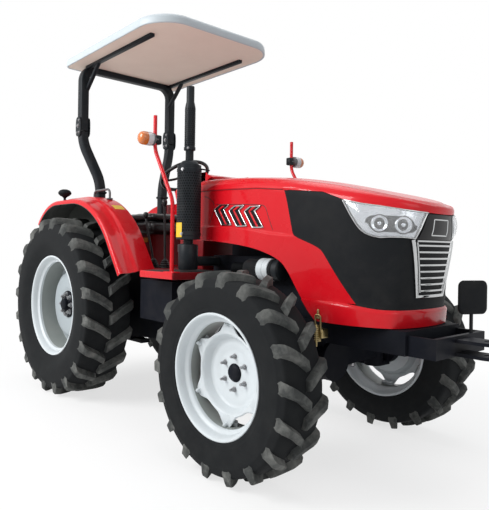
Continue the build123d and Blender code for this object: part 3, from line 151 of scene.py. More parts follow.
def finish_of(name, colour, shade, rough, spread=0.15, cloud=3.0, skin=400.0, bump=0.02, depth=0.0004,
              dust=0.15, dust_top=1.2, dust_colour=(0.42, 0.38, 0.33), metallic=0.0, coat=0.0, specular=0.5):
    """Material of one finish: film group into dust group into the shader, with the film's skin as bump."""
    material = bpy.data.materials.new(name)
    material.use_nodes = True
    tree = material.node_tree
    shader = tree.nodes["Principled BSDF"]
    film = tree.nodes.new("ShaderNodeGroup")
    film.node_tree = film_group
    film.inputs["Colour"].default_value = (*colour, 1)
    film.inputs["Shade"].default_value = (*shade, 1)
    film.inputs["Cloud Scale"].default_value = cloud
    film.inputs["Skin Scale"].default_value = skin
    film.inputs["Roughness"].default_value = rough
    film.inputs["Roughness Spread"].default_value = spread
    settled = tree.nodes.new("ShaderNodeGroup")
    settled.node_tree = dust_group
    settled.inputs["Dust"].default_value = (*dust_colour, 1)
    settled.inputs["Amount"].default_value = dust
    settled.inputs["Top"].default_value = dust_top
    tree.links.new(film.outputs["Colour"], settled.inputs["Colour"])
    tree.links.new(film.outputs["Roughness"], settled.inputs["Roughness"])
    tree.links.new(settled.outputs["Colour"], shader.inputs["Base Color"])
    tree.links.new(settled.outputs["Roughness"], shader.inputs["Roughness"])
    relief = tree.nodes.new("ShaderNodeBump")
    relief.inputs["Strength"].default_value = bump
    relief.inputs["Distance"].default_value = depth
    tree.links.new(film.outputs["Height"], relief.inputs["Height"])
    tree.links.new(relief.outputs["Normal"], shader.inputs["Normal"])
    shader.inputs["Metallic"].default_value = metallic
    shader.inputs["Coat Weight"].default_value = coat
    shader.inputs["Coat Roughness"].default_value = 0.06
    shader.inputs["Specular IOR Level"].default_value = specular
    return material


def clear_finish(name, colour, rough, transmission):
    """Clear moulded lens: see-through plastic with a faint surface ripple."""
    material = finish_of(name, colour, colour, rough, spread=0.02, skin=260, bump=0.15, depth=0.0006, dust=0.02)
    shader = material.node_tree.nodes["Principled BSDF"]
    shader.inputs["Transmission Weight"].default_value = transmission
    shader.inputs["IOR"].default_value = 1.3
    return material


RED = (0.64, 0.006, 0.014)
recipes = {
    "red_paint": dict(colour=RED, shade=(0.58, 0.005, 0.012), rough=0.27, spread=0.06, cloud=1.6, skin=900,
                      depth=0.0003, dust=0.03, dust_top=1.6, coat=0.30, specular=0.12),
    # Darker copy of the red paint, for seams and darker red parts; on the platform's front strips it is painted
    # shade.
    "dark_red_paint": dict(colour=(0.20, 0.003, 0.007), shade=(0.14, 0.002, 0.005), rough=0.42, spread=0.2, cloud=4,
                           skin=700, bump=0.04, depth=0.0003, dust=0.08, specular=0.25),
    "dark_paint": dict(colour=(0.009, 0.010, 0.015), shade=(0.006, 0.007, 0.010), rough=0.48, spread=0.2, cloud=5,
                       skin=600, bump=0.05, dust=0.03, specular=0.06),
    "wheel_paint": dict(colour=(0.62, 0.66, 0.68), shade=(0.56, 0.60, 0.62), rough=0.40, cloud=4, skin=700, bump=0.03,
                        depth=0.0003, dust=0.08, dust_top=1.3, specular=0.35),
    # Darker copy of the wheel paint for the deep-dished rear discs: painted shade.
    "disc_grey": dict(colour=(0.37, 0.41, 0.43), shade=(0.31, 0.35, 0.37), rough=0.42, cloud=4, skin=700, bump=0.03,
                      depth=0.0003, dust=0.08, specular=0.3),
    # Darker copy of the wheel paint, laid in the rims' drop wells as painted shade.
    "wheel_grey": dict(colour=(0.26, 0.28, 0.27), shade=(0.20, 0.22, 0.21), rough=0.42, cloud=4, skin=700, bump=0.03,
                       depth=0.0003, dust=0.08, specular=0.3),
    # Dark grey for the undersides of the fenders: painted shade.
    "undercoat": dict(colour=(0.060, 0.065, 0.060), shade=(0.045, 0.050, 0.046), rough=0.7, spread=0.2, cloud=7,
                      skin=500, bump=0.2, depth=0.0006, specular=0.15),
    "tyre_rubber": dict(colour=(0.010, 0.011, 0.012), shade=(0.007, 0.008, 0.009), rough=0.78, cloud=14, skin=900,
                        bump=0.35, depth=0.0008, dust=0.22, dust_top=1.5, dust_colour=(0.046, 0.047, 0.046),
                        specular=0.14),
    "lug_rubber": dict(colour=(0.070, 0.074, 0.071), shade=(0.034, 0.036, 0.036), rough=0.80, cloud=18, skin=800,
                       bump=0.4, depth=0.001, dust=0.65, dust_top=2.8, dust_colour=(0.24, 0.24, 0.225),
                       specular=0.18),
    "black_plastic": dict(colour=(0.010, 0.011, 0.013), shade=(0.007, 0.008, 0.009), rough=0.60, spread=0.12, cloud=6,
                          skin=1600, bump=0.3, depth=0.0006, dust=0.05, specular=0.10),
    "gloss_black": dict(colour=(0.008, 0.008, 0.009), shade=(0.005, 0.005, 0.006), rough=0.30, spread=0.1, cloud=8,
                        skin=900, bump=0.05, dust=0.04, specular=0.25),
    "chrome": dict(colour=(0.56, 0.57, 0.57), shade=(0.44, 0.45, 0.46), rough=0.14, spread=0.08, cloud=8, skin=500,
                   bump=0.01, depth=0.0002, dust=0.03, metallic=1.0),
    "amber_lens": dict(colour=(0.62, 0.17, 0.03), shade=(0.52, 0.13, 0.02), rough=0.20, spread=0.05, cloud=20,
                       skin=300, bump=0.2, depth=0.0006, dust=0.03, coat=0.3),
    "white_shell": dict(colour=(0.50, 0.55, 0.58), shade=(0.45, 0.50, 0.53), rough=0.40, spread=0.12, cloud=2,
                        skin=900, bump=0.05, depth=0.0003, dust=0.05, dust_top=4.0, specular=0.3),
    "liner_board": dict(colour=(0.82, 0.71, 0.61), shade=(0.72, 0.61, 0.52), rough=0.8, spread=0.1, cloud=4, skin=900,
                        bump=0.3, depth=0.0006, dust=0.05, specular=0.2),
    "frame_paint": dict(colour=(0.016, 0.020, 0.024), shade=(0.010, 0.013, 0.016), rough=0.40, spread=0.2, cloud=5,
                        skin=900, bump=0.08, dust=0.05, dust_top=3.0, specular=0.12),
    "frame_grey": dict(colour=(0.12, 0.125, 0.13), shade=(0.08, 0.085, 0.09), rough=0.42, spread=0.2, cloud=5,
                       skin=900, bump=0.08, dust=0.10, dust_top=3.0, specular=0.4),
    "seat_vinyl": dict(colour=(0.010, 0.010, 0.011), shade=(0.006, 0.006, 0.007), rough=0.36, cloud=9, skin=1100,
                       bump=0.4, depth=0.0008, dust=0.06, specular=0.45),
    "steel": dict(colour=(0.40, 0.40, 0.41), shade=(0.30, 0.30, 0.31), rough=0.36, spread=0.2, cloud=12, skin=900,
                  bump=0.1, depth=0.0003, dust=0.12, metallic=0.9),
    "brass": dict(colour=(0.42, 0.33, 0.15), shade=(0.30, 0.23, 0.10), rough=0.36, spread=0.2, cloud=16, skin=600,
                  bump=0.08, depth=0.0003, dust=0.10, metallic=0.9),
    "cast_metal": dict(colour=(0.008, 0.009, 0.013), shade=(0.005, 0.006, 0.009), rough=0.58, spread=0.2, cloud=8,
                       skin=350, bump=0.5, depth=0.0012, dust=0.07, dust_colour=(0.10, 0.095, 0.085), specular=0.06),
    "rubber_mat": dict(colour=(0.014, 0.014, 0.015), shade=(0.009, 0.009, 0.010), rough=0.7, cloud=9, skin=800,
                       bump=0.3, depth=0.0006, specular=0.2),
    "yellow_patch": dict(colour=(0.80, 0.52, 0.02), shade=(0.74, 0.46, 0.015), rough=0.4, spread=0.1, cloud=10,
                         skin=900, bump=0.05, depth=0.0002, dust=0.08),
    "lamp_silver": dict(colour=(0.78, 0.80, 0.83), shade=(0.50, 0.52, 0.55), rough=0.16, spread=0.1, cloud=30,
                        skin=120, bump=0.25, depth=0.002, dust=0.02, metallic=0.9),
    "hole_black": dict(colour=(0.003, 0.003, 0.004), shade=(0.002, 0.002, 0.002), rough=0.8, spread=0.1, cloud=9,
                       skin=900, bump=0.1, depth=0.0003, dust=0.02, specular=0.1),
    "lamp_frost": dict(colour=(0.66, 0.67, 0.68), shade=(0.54, 0.55, 0.57), rough=0.16, spread=0.05, cloud=20,
                       skin=200, bump=0.3, depth=0.001, dust=0.02, coat=0.3),
}
finishes = {name: finish_of(name, **recipe) for name, recipe in recipes.items()}
finishes["lamp_lens"] = clear_finish("lamp_lens", (0.95, 0.96, 0.97), 0.05, 0.9)


# Mesh making
def grid_faces(rows, cols, wrap_rows=False, wrap_cols=False):
    """Quads of a rows by cols grid of points, closed along either way when wrapped."""
    r = np.arange(rows if wrap_rows else rows - 1)
    c = np.arange(cols if wrap_cols else cols - 1)
    r, c = (part.ravel() for part in np.meshgrid(r, c, indexing="ij"))
    r2, c2 = (r + 1) % rows, (c + 1) % cols
    return np.stack([r * cols + c, r * cols + c2, r2 * cols + c2, r2 * cols + c], axis=1)


def surface(points, wrap_rows=False, wrap_cols=False, caps=False):
    """Points of a grid and its quads, with the first and last row closed by one face each when capped."""
    rows, cols = points.shape[:2]
    faces = grid_faces(rows, cols, wrap_rows, wrap_cols).tolist()
    if caps:
        faces.append(list(range(cols)))
        faces.append(list(range((rows - 1) * cols, rows * cols))[::-1])
    return points.reshape(-1, 3), faces


def joined(shapes):
    """Several shapes as one: points stacked and face numbers shifted."""
    points, faces, start = [], [], 0
    for shape_points, shape_faces in shapes:
        points.append(shape_points)
        faces += [[index + start for index in face] for face in shape_faces]
        start += len(shape_points)
    return np.concatenate(points), faces


def piece(name, shape, finish, body, replaced=(), sharp=38, weld=True):
    """Object of a shape: doubles merged, faces outwards, shading split at sharp edges, riding on a body."""
    mesh = bpy.data.meshes.new(name)
    points, faces = shape
    mesh.from_pydata(np.asarray(points, float).tolist(), [], faces)
    if weld:
        work = bmesh.new()
        work.from_mesh(mesh)
        bmesh.ops.remove_doubles(work, verts=work.verts, dist=1e-5)
        bmesh.ops.dissolve_degenerate(work, edges=work.edges, dist=1e-6)
        bmesh.ops.recalc_face_normals(work, faces=work.faces)
        work.to_mesh(mesh)
        work.free()
    mesh.polygons.foreach_set("use_smooth", np.ones(len(mesh.polygons), bool))
    mesh.set_sharp_from_angle(angle=math.radians(sharp))
    mesh.materials.append(finishes[finish])
    thing = bpy.data.objects.new(name, mesh)
    bpy.context.scene.collection.objects.link(thing)
    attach(thing, body)
    if replaced:
        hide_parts(*replaced)
    return thing


def smooth_line(points, per_span=8, closed=False):
    """Catmull-Rom curve through the points, each span a cubic worked out for all its steps at once."""
    points = np.asarray(points, float)
    if closed:
        padded = np.concatenate([points[-1:], points, points[:2]])
    else:
        padded = np.concatenate([2 * points[:1] - points[1:2], points, 2 * points[-1:] - points[-2:-1]])
    t = np.linspace(0, 1, per_span, endpoint=False)[None, :, None]
    a, b, c, d = (padded[i:len(padded) - 3 + i, None] for i in range(4))
    square, cube = 2 * a - 5 * b + 4 * c - d, 3 * b - a - 3 * c + d
    curve = 0.5 * (2 * b + (c - a) * t + square * t ** 2 + cube * t ** 3)
    curve = curve.reshape(-1, points.shape[1])
    return curve if closed else np.concatenate([curve, points[-1:]])


def bent_path(points, radius, steps=8):
    """Straight runs joined by arcs: each corner is cut back by the tangent length and rounded."""
    points = np.asarray(points, float)
    radii = np.broadcast_to(radius, len(points))
    path = [points[:1]]
    for before, corner, after, r in zip(points[:-2], points[1:-1], points[2:], radii[1:-1]):
        back = (before - corner) / np.linalg.norm(before - corner)
        onward = (after - corner) / np.linalg.norm(after - corner)
        half = math.acos(float(np.clip(back @ onward, -1, 1))) / 2
        reach = r / math.tan(half)
        bisector = (back + onward) / np.linalg.norm(back + onward)
        centre = corner + bisector * r / math.sin(half)
        first, last = corner + back * reach - centre, corner + onward * reach - centre
        turn = math.pi - 2 * half
        t = np.linspace(0, 1, steps)[:, None]
        path.append(centre + (np.sin((1 - t) * turn) * first + np.sin(t * turn) * last) / math.sin(turn))
    path.append(points[-1:])
    return np.concatenate(path)


def circle_section(radius, count=16):
    """Round section of a bar or tube."""
    t = np.arange(count) * TAU / count
    return np.stack([np.cos(t), np.sin(t)], axis=1) * radius


def box_section(width, height, corner, steps=4):
    """Rectangle with rounded corners: four quarter circles about the corner centres."""
    t = np.linspace(0, math.pi / 2, steps)
    quarters = np.concatenate([t + k * math.pi / 2 for k in range(4)])
    sx = np.repeat([1, -1, -1, 1], steps) * (width / 2 - corner)
    sy = np.repeat([1, 1, -1, -1], steps) * (height / 2 - corner)
    return np.stack([sx + corner * np.cos(quarters), sy + corner * np.sin(quarters)], axis=1)


def carried(path, section, up=(0, 0, 1), scale=None, closed=False, caps=True):
    """Section carried along a path: it stands across the tangent, its first axis square to up."""
    path = np.asarray(path, float)
    if closed:
        tangent = np.roll(path, -1, 0) - np.roll(path, 1, 0)
    else:
        tangent = np.gradient(path, axis=0)
    tangent /= np.linalg.norm(tangent, axis=1, keepdims=True)
    side = np.cross(np.asarray(up, float)[None], tangent)
    side /= np.linalg.norm(side, axis=1, keepdims=True)
    normal = np.cross(tangent, side)
    size = np.ones(len(path)) if scale is None else np.asarray(scale, float)
    reach = section[None, :, :1] * side[:, None] + section[None, :, 1:] * normal[:, None]
    points = path[:, None] + size[:, None, None] * reach
    return surface(points, wrap_rows=closed, wrap_cols=True, caps=caps and not closed)


def turned(profile, origin, axis="y", count=48, closed=False):
    """Profile of radius and place along the axis, turned a full round about the axis through the origin."""
    profile = np.asarray(profile, float)
    t = np.arange(count)[:, None] * TAU / count
    radius, along = profile[None, :, 0], profile[None, :, 1] + 0 * t
    a, b = radius * np.cos(t), radius * np.sin(t)
    order = {"x": (along, a, b), "y": (b, along, a), "z": (a, b, along)}[axis]
    points = np.stack(order, axis=2) + np.asarray(origin, float)
    return surface(points, wrap_rows=True, wrap_cols=closed)


def spread(shape, moves):
    """One shape repeated by an array of offsets."""
    points, faces = shape
    moves = np.asarray(moves, float)
    every = (points[None] + moves[:, None]).reshape(-1, 3)
    size = len(points)
    return every, [[index + k * size for index in face] for k in range(len(moves)) for face in faces]


def spun(shape, origin, angles):
    """One shape repeated by turns about an axle along Y through the origin."""
    points, faces = shape
    centre = np.asarray(origin, float)
    local = points - centre
    c, s = np.cos(angles)[:, None], np.sin(angles)[:, None]
    x = local[None, :, 0] * c + local[None, :, 2] * s
    z = local[None, :, 2] * c - local[None, :, 0] * s
    every = np.stack([x, local[None, :, 1] + 0 * c, z], axis=2).reshape(-1, 3) + centre
    size = len(points)
    return every, [[index + k * size for index in face] for k in range(len(angles)) for face in faces]


def bar(start, end, width, height, corner=0.003, up=(0, 0, 1)):
    """Straight bar of rounded rectangular section between two points, its ends eased in."""
    start, end = np.asarray(start, float), np.asarray(end, float)
    length = np.linalg.norm(end - start)
    ease = min(corner, length / 4) / length
    t = np.array([0, ease * 0.3, ease, 1 - ease, 1 - ease * 0.3, 1])[:, None]
    smallest = 1 - 2 * corner / max(width, height)
    return carried(start + (end - start) * t, box_section(width, height, corner), up,
                   [smallest, (1 + smallest) / 2, 1, 1, (1 + smallest) / 2, smallest])


def hex_bolt(radius, height, washer=1.35):
    """Bolt head on its washer, standing on the origin along Z: six flats with a chamfered crown."""
    t = np.arange(24) * TAU / 24
    flat = math.cos(math.pi / 6) / np.cos((t + math.pi / 6) % (math.pi / 3) - math.pi / 6)
    ring = np.stack([np.cos(t), np.sin(t)], axis=1)
    rows = [
        (washer * radius * np.ones(24), 0), (washer * radius * np.ones(24), 0.18 * height),
        (radius * flat, 0.18 * height), (radius * flat, 0.85 * height), (radius * 0.86 * np.ones(24), height),
        (0 * t, height),
    ]
    points = np.stack([np.concatenate([ring * r[:, None], np.full((24, 1), z)], axis=1) for r, z in rows])
    return surface(points, wrap_cols=True)


def set_on(shape, places, direction):
    """A shape made along Z set at each place, pointing along the direction."""
    points, faces = shape
    direction = np.asarray(direction, float)
    helper = np.array([1.0, 0, 0]) if abs(direction[0]) < 0.9 else np.array([0, 1.0, 0])
    side = np.cross(helper, direction)
    side /= np.linalg.norm(side)
    turned_points = points[:, :1] * side + points[:, 1:2] * np.cross(direction, side) + points[:, 2:] * direction
    return spread((turned_points, faces), places)


# Carried-over CAD nodes take their finish by slot
slot_of = {row["node"]: row["material_slot"] for row in frame["record"]["subparts"]}
node_finish = {"pedals": "steel", "battery_box": "dark_paint"}
for node, thing in frame["nodes"].items():
    thing.data.materials.clear()
    thing.data.materials.append(finishes[node_finish.get(node, slot_of[node])])


# Tyres
def tyre_carcass(centre, radius, width, rim_radius, rim_width, lug_height, count=120):
    """Tyre body: a smooth closed section of axial place and radius, turned about the axle."""
    half, tread = width / 2, radius - lug_height
    belly = rim_radius + 0.45 * (tread - rim_radius)
    right = [
        (rim_width / 2 - 0.020, rim_radius - 0.004), (rim_width / 2 - 0.002, rim_radius + 0.006),
        (rim_width / 2 + 0.2 * (half - rim_width / 2), rim_radius + 0.028), (0.975 * half, belly - 0.02),
        (0.985 * half, belly + 0.35 * (tread - belly)), (0.945 * half, tread - 0.035), (0.85 * half, tread - 0.010),
        (0.45 * half, tread - 0.001), (0, tread),
    ]
    section = np.array(right + [(-a, r) for a, r in right[-2::-1]])
    line = smooth_line(section, 5)
    ridge = 0.0018 * np.exp(-((line[:, 1] - rim_radius - 0.035) / 0.004) ** 2)
    ridge += 0.0022 * np.exp(-((line[:, 1] - tread + 0.055) / 0.005) ** 2)
    line[:, 0] += ridge * np.sign(line[:, 0])
    return turned(line[:, ::-1], centre, "y", count, closed=True)


def tyre_lugs(centre, radius, width, lug_height, pairs, half_angle, bar_width):
    """Chevron lugs: a trapezoid carried from the tread's middle over the shoulder, along a bent line."""
    half = width / 2
    q = np.array([0, 0.03, 0.16, 0.32, 0.5, 0.66, 0.8, 0.9, 0.97, 1.0])
    axial = np.interp(q, [0, 0.8, 0.9, 0.97, 1], [-0.006, 0.86 * half, 0.945 * half, 0.985 * half, 0.965 * half])
    lead = math.radians(half_angle)
    angle = np.interp(q, [0, 0.4, 0.9, 1], [0.80 * lead, 0.05 * lead, -0.62 * lead, -0.66 * lead])
    top = radius - np.interp(q, [0, 0.03, 0.1, 0.66, 0.80, 0.9, 0.97, 1],
                             [0.010, 0.002, 0.0, 0.0, 0.004, 0.020, 0.055, 0.096])
    root = radius - np.interp(q, [0, 0.8, 0.9, 0.97, 1],
                              [lug_height + 0.012, lug_height + 0.02, lug_height + 0.034, 0.100, 0.112])
    across = np.array([-0.82, -0.62, -0.5, -0.42, 0.42, 0.5, 0.62, 0.82])
    rise = np.array([0, 0.45, 0.9, 1.0, 1.0, 0.9, 0.45, 0])
    wide = bar_width * np.interp(q, [0, 0.5, 0.9, 1], [1.05, 1.0, 1.1, 0.8])
    r = root[:, None] + (top - root)[:, None] * rise[None]
    theta = angle[:, None] + across[None] * wide[:, None] / radius
    rows = np.arange(pairs) * TAU / pairs
    shapes = []
    for hand, phase in ((1, 0.0), (-1, math.pi / pairs)):
        turn = theta[None] + (rows + phase)[:, None, None]
        points = np.stack([r * np.sin(turn), hand * axial[None, :, None] + 0 * turn, r * np.cos(turn)], axis=3)
        size = len(q) * len(across)
        faces = grid_faces(len(q), len(across)).tolist()
        faces += [list(range(len(across))), list(range(size - len(across), size))[::-1]]
        every = [[index + k * size for index in face] for k in range(pairs) for face in faces]
        shapes.append((points.reshape(-1, 3) + np.asarray(centre, float), every))
    return joined(shapes)


wheels = {
    "front": dict(x=FRONT_X, y=FRONT_Y, z=FRONT_Z, radius=0.548, width=0.285, rim=0.3275, rim_width=0.260,
                  lug=0.034, pairs=18, angle=7.2, bar=0.044),
    "rear": dict(x=REAR_X, y=REAR_Y, z=REAR_Z, radius=0.720, width=0.410, rim=0.405, rim_width=0.330,
                 lug=0.040, pairs=20, angle=6.8, bar=0.056),
}
for end, w in wheels.items():
    for side, hand in SIDES:
        centre = (w["x"], side * w["y"], w["z"])
        carcass = tyre_carcass(centre, w["radius"], w["width"], w["rim"], w["rim_width"], w["lug"])
        lugs = tyre_lugs(centre, w["radius"], w["width"], w["lug"], w["pairs"], w["angle"], w["bar"])
        body = f"{end}_wheel_{hand}"
        piece(f"{end}_tyre_{hand}_carcass", carcass, "tyre_rubber", body, [f"{end}_tyre_{hand}"])
        piece(f"{end}_tyre_{hand}_lugs", lugs, "lug_rubber", body, sharp=30)


# Rims
def rim_barrel(centre, side, radius, width):
    """Rolled rim: bead lip, seat, drop well and back again, as one closed section turned about the axle."""
    half = width / 2
    outer = np.array([
        (radius + 0.001, half - 0.010), (radius + 0.002, half - 0.002), (radius - 0.004, half + 0.001),
        (radius - 0.012, half - 0.003), (radius - 0.020, half - 0.016), (radius - 0.026, half - 0.034),
        (radius - 0.030, half - 0.046), (radius - 0.042, half - 0.055), (radius - 0.050, half - 0.075),
        (radius - 0.050, -half + 0.075), (radius - 0.042, -half + 0.055), (radius - 0.028, -half + 0.04),
        (radius - 0.014, -half + 0.004), (radius - 0.002, -half), (radius + 0.002, -half + 0.004),
        (radius - 0.008, -half + 0.03), (radius - 0.030, -half + 0.06), (radius - 0.036, -half + 0.08),
        (radius - 0.036, half - 0.08), (radius - 0.024, half - 0.055), (radius - 0.010, half - 0.026),
    ])
    line = smooth_line(outer, 3, closed=True)
    line[:, 1] *= side
    return turned(line, centre, "y", 96, closed=True)


def rim_well_shade_band(centre, side, radius, width):
    """Band of painted shade over the drop of the rim, a darker copy of the wheel paint: a thin closed section turned
    about the axle.
    """
    half = width / 2 - 0.074
    line = np.array([(radius - 0.0505, half), (radius - 0.0520, half - 0.004), (radius - 0.0520, -half),
                     (radius - 0.0505, -half)])
    return turned(line * [1, side], centre, "y", 96, closed=True)


FRONT_FACE, REAR_FACE = -0.024, 0.010
TABS = 6


def front_disc(centre, side):
    """Hollow wheel disc: hub plate, raised ring, sloped wall and a flange that waves out to its tabs."""
    t = np.arange(192)[:, None] * TAU / 192
    tab = 0.5 + 0.5 * np.cos(TABS * t)
    edge = 0.224 + 0.062 * tab ** 2.6
    face = FRONT_FACE
    fixed = np.array([
        (0.0, face), (0.045, face), (0.100, face), (0.128, face), (0.134, face + 0.003), (0.160, face + 0.003),
        (0.170, face + 0.004), (0.181, face + 0.009), (0.191, face + 0.020), (0.200, face + 0.036),
        (0.206, face + 0.048), (0.213, face + 0.054),
    ])
    back = np.array([0.203, 0.190, 0.176, 0.06])
    radius = np.concatenate([fixed[None, :, 0] + 0 * t, edge - 0.006, edge, edge, edge - 0.01,
                             back[None] + 0 * t], axis=1)
    along = list(fixed[:, 1]) + [face + s for s in (0.056, 0.053, 0.048, 0.047, 0.044, 0.022, 0.000, -0.010)]
    along = np.array(along)[None] + 0 * t
    points = np.stack([radius * np.sin(t), side * along, radius * np.cos(t)], axis=2) + np.asarray(centre, float)
    return surface(points, wrap_rows=True)


def rear_disc(centre, side, rim_radius):
    """Dished rear disc: flat plate with a pressed ring, then a wall that slopes in to the barrel."""
    face, bore = REAR_FACE, rim_radius - 0.048
    profile = np.array([
        (0.0, face), (0.118, face), (0.132, face + 0.004), (0.150, face + 0.005), (0.235, face + 0.004),
        (0.254, face + 0.001), (0.265, face - 0.006), (0.273, face - 0.018), (0.284, face - 0.040),
        (0.306, face - 0.058), (bore - 0.014, face - 0.066), (bore, face - 0.064), (bore, face - 0.080),
        (0.300, face - 0.072), (0.266, face - 0.044), (0.250, face - 0.014), (0.05, face - 0.012),
    ])
    profile[:, 1] *= side
    return turned(profile, centre, "y", 96)


def tab_bracket(hub, side):
    """Bracket at the top tab of the front disc: two cheeks on a foot plate, and a bolt through the tab."""
    foot = hub + (0, side * (FRONT_FACE + 0.022), 0.252)
    bolt = hub + (0, side * FRONT_FACE, 0.266)
    shapes = []
    for reach in (-0.024, 0.024):
        low = foot + (reach, 0, 0)
        shapes.append(bar(low, low + (0, 0, 0.040), 0.008, 0.050, 0.003, up=(1, 0, 0)))
    shapes.append(bar(foot - (0.03, 0, 0), foot + (0.03, 0, 0), 0.050, 0.010, 0.003))
    shapes.append(set_on(hex_bolt(0.012, 0.016), [bolt + (0, side * 0.055, 0)], (0, side, 0)))
    shapes.append(bar(bolt + (0, side * 0.042, 0), bolt + (0, side * 0.080, 0), 0.013, 0.013, 0.005))
    return joined(shapes)


def nut_ring(hub, side, nut, depth, reach, count):
    """Wheel nuts: one nut set on the disc at a depth and reach from the axle, repeated round it."""
    top = hub + (0, side * depth, reach)
    return spun(set_on(nut, [top], (0, side, 0)), hub, np.arange(count) * TAU / count)


front_cap = np.array([(0.0, 0.018), (0.030, 0.018), (0.040, 0.014), (0.047, 0.006), (0.050, 0.0), (0.050, -0.012)])
rear_cap = np.array([
    (0.0, 0.052), (0.036, 0.052), (0.046, 0.046), (0.050, 0.020), (0.060, 0.014), (0.098, 0.014), (0.108, 0.010),
    (0.112, 0.002), (0.112, -0.098), (0.05, -0.098),
])
stud = turned([(0.0, 0.034), (0.006, 0.033), (0.0075, 0.030), (0.0075, 0.0)], (0, 0, 0), "z", 12)
front_nut = joined([hex_bolt(0.0110, 0.015), stud])
rear_nut = joined([hex_bolt(0.0155, 0.020), spread(stud, [(0, 0, -0.006)])])


def rim_base(end, side, hand):
    """Barrel of one rim and the band of painted shade in its drop well, turned about its hub; the hub and the wheel's
    body come back.
    """
    w, body = wheels[end], f"{end}_wheel_{hand}"
    hub = np.array((w["x"], side * w["y"], w["z"]))
    barrel = rim_barrel(hub, side, w["rim"], w["rim_width"])
    piece(f"{end}_rim_{hand}_barrel", barrel, "wheel_paint", body, [f"{end}_rim_{hand}"])
    # The well's grey band is painted shade.
    piece(f"{end}_rim_{hand}_well", rim_well_shade_band(hub, side, w["rim"], w["rim_width"]), "wheel_grey", body)
    return hub, body


for side, hand in SIDES:
    hub, body = rim_base("front", side, hand)
    piece(f"front_rim_{hand}_disc", front_disc(hub, side), "wheel_paint", body)
    brackets = spun(tab_bracket(hub, side), hub, np.arange(TABS) * TAU / TABS)
    piece(f"front_rim_{hand}_tab_bolts", brackets, "wheel_paint", body)
    cap = turned(front_cap * [1, side] + [0, side * FRONT_FACE], hub, "y", 40)
    piece(f"front_hub_{hand}_cap", cap, "dark_paint", body)
    nuts = nut_ring(hub, side, front_nut, FRONT_FACE + 0.001, 0.088, 6)
    piece(f"front_hub_{hand}_nuts", nuts, "steel", body)

    hub, body = rim_base("rear", side, hand)
    # The rear disc takes a darker copy of the wheel paint: painted shade.
    piece(f"rear_rim_{hand}_disc", rear_disc(hub, side, wheels["rear"]["rim"]), "disc_grey", body)
    flange = turned(rear_cap * [1, side] + [0, side * REAR_FACE], hub, "y", 56)
    piece(f"rear_hub_{hand}_flange", flange, "dark_paint", body)
    nuts = nut_ring(hub, side, rear_nut, REAR_FACE + 0.013, 0.083, 8)
    piece(f"rear_hub_{hand}_nuts", nuts, "steel", body)


# Hood: the wall follows a plan line round the nose, the crown runs in from it to the middle
NOSE_ARC, CHEEK_ARC, NOSE_MIDDLE = 0.2915, 0.520, 0.4969
NOSE_LENGTH = NOSE_ARC * math.radians(50)
CHEEK_LENGTH = CHEEK_ARC * math.radians(40)
SIDE_START = NOSE_LENGTH + CHEEK_LENGTH
HOOD_REAR, HOOD_LIP, HOOD_HALF = -0.815, 0.780, 0.345
SHOULDER = 0.085
SKIRT_LOW, SKIRT_TOP = 0.825, 0.935
RECESS = 0.008
SHEET = 0.006
VENTS = 3


def plan_line(s):
    """Plan of the hood by length s from the nose, left positive: arc, wider arc, straight side."""
    a = np.abs(s)
    nose = np.clip(a, 0, NOSE_LENGTH) / NOSE_ARC
    cheek = np.clip(a - NOSE_LENGTH, 0, CHEEK_LENGTH) / CHEEK_ARC
    back = np.clip(a - SIDE_START, 0, None)
    corner = math.radians(50)
    x = NOSE_MIDDLE + NOSE_ARC * np.cos(nose) + CHEEK_ARC * (np.cos(corner + cheek) - math.cos(corner))
    y = NOSE_ARC * np.sin(nose) + CHEEK_ARC * (np.sin(corner + cheek) - math.sin(corner))
    turn = nose + cheek
    return x - back, y * np.sign(s), np.cos(turn), np.sin(turn) * np.sign(s)


plan_s = np.linspace(0, SIDE_START + 1.3, 900)
plan_x = plan_line(plan_s)[0]


def length_at(x):
    """Plan length from the nose at which the plan reaches x."""
    return np.interp(-np.asarray(x, float), -plan_x, plan_s)


def circle_through(a, b, c):
    """Centre and radius of the circle through three points, from the two equal-distance equations."""
    rows = 2 * np.array([np.subtract(b, a), np.subtract(c, a)])
    ends = np.array([np.dot(b, b) - np.dot(a, a), np.dot(c, c) - np.dot(a, a)])
    centre = np.linalg.solve(rows, ends)
    return centre, float(np.hypot(*(centre - a)))


crown_circle = circle_through((HOOD_REAR, 1.680), (0.100, 1.605), (HOOD_LIP, 1.445))


def crown_height(x):
    """Crown of the hood over its length: one large arc through the rear edge, the middle and the lip."""
    middle, radius = crown_circle
    return middle[1] + np.sqrt(radius ** 2 - (np.clip(x, HOOD_REAR, HOOD_LIP) - middle[0]) ** 2)


def step(value, start, end):
    """Smooth step: nought before the start, one past the end, a cubic between."""
    t = np.clip((value - start) / (end - start), 0, 1)
    return t * t * (3 - 2 * t)


def front_limit(z):
    """How far forward the nose reaches at a height: leaning grille face, then the lip over it."""
    return np.interp(z, [0.825, 0.935, 1.270, 1.320, 1.394, 1.402, 1.445],
                     [0.680, 0.694, 0.736, 0.750, 0.756, 0.764, 0.782])


def cut_nose(x, y, z, out):
    """x held back by the front limit, which bows back to the sides; the corner between them is eased."""
    ease = 0.030
    over = x - front_limit(z) + 0.55 * y ** 2 - out
    return x - 0.5 * (over + np.sqrt(over ** 2 + ease ** 2))


def shoulder_at(s):
    """Radius of the shoulder along the plan: tight round the nose, full along the sides."""
    return SHOULDER * (0.45 + 0.55 * step(np.abs(s), 0.25, 0.62))


def skirt_top(s):
    """Height of the skirt's upper edge along the plan, a little lower round the nose."""
    return SKIRT_TOP - 0.024 * (1 - step(np.abs(s), 0.34, 0.60))


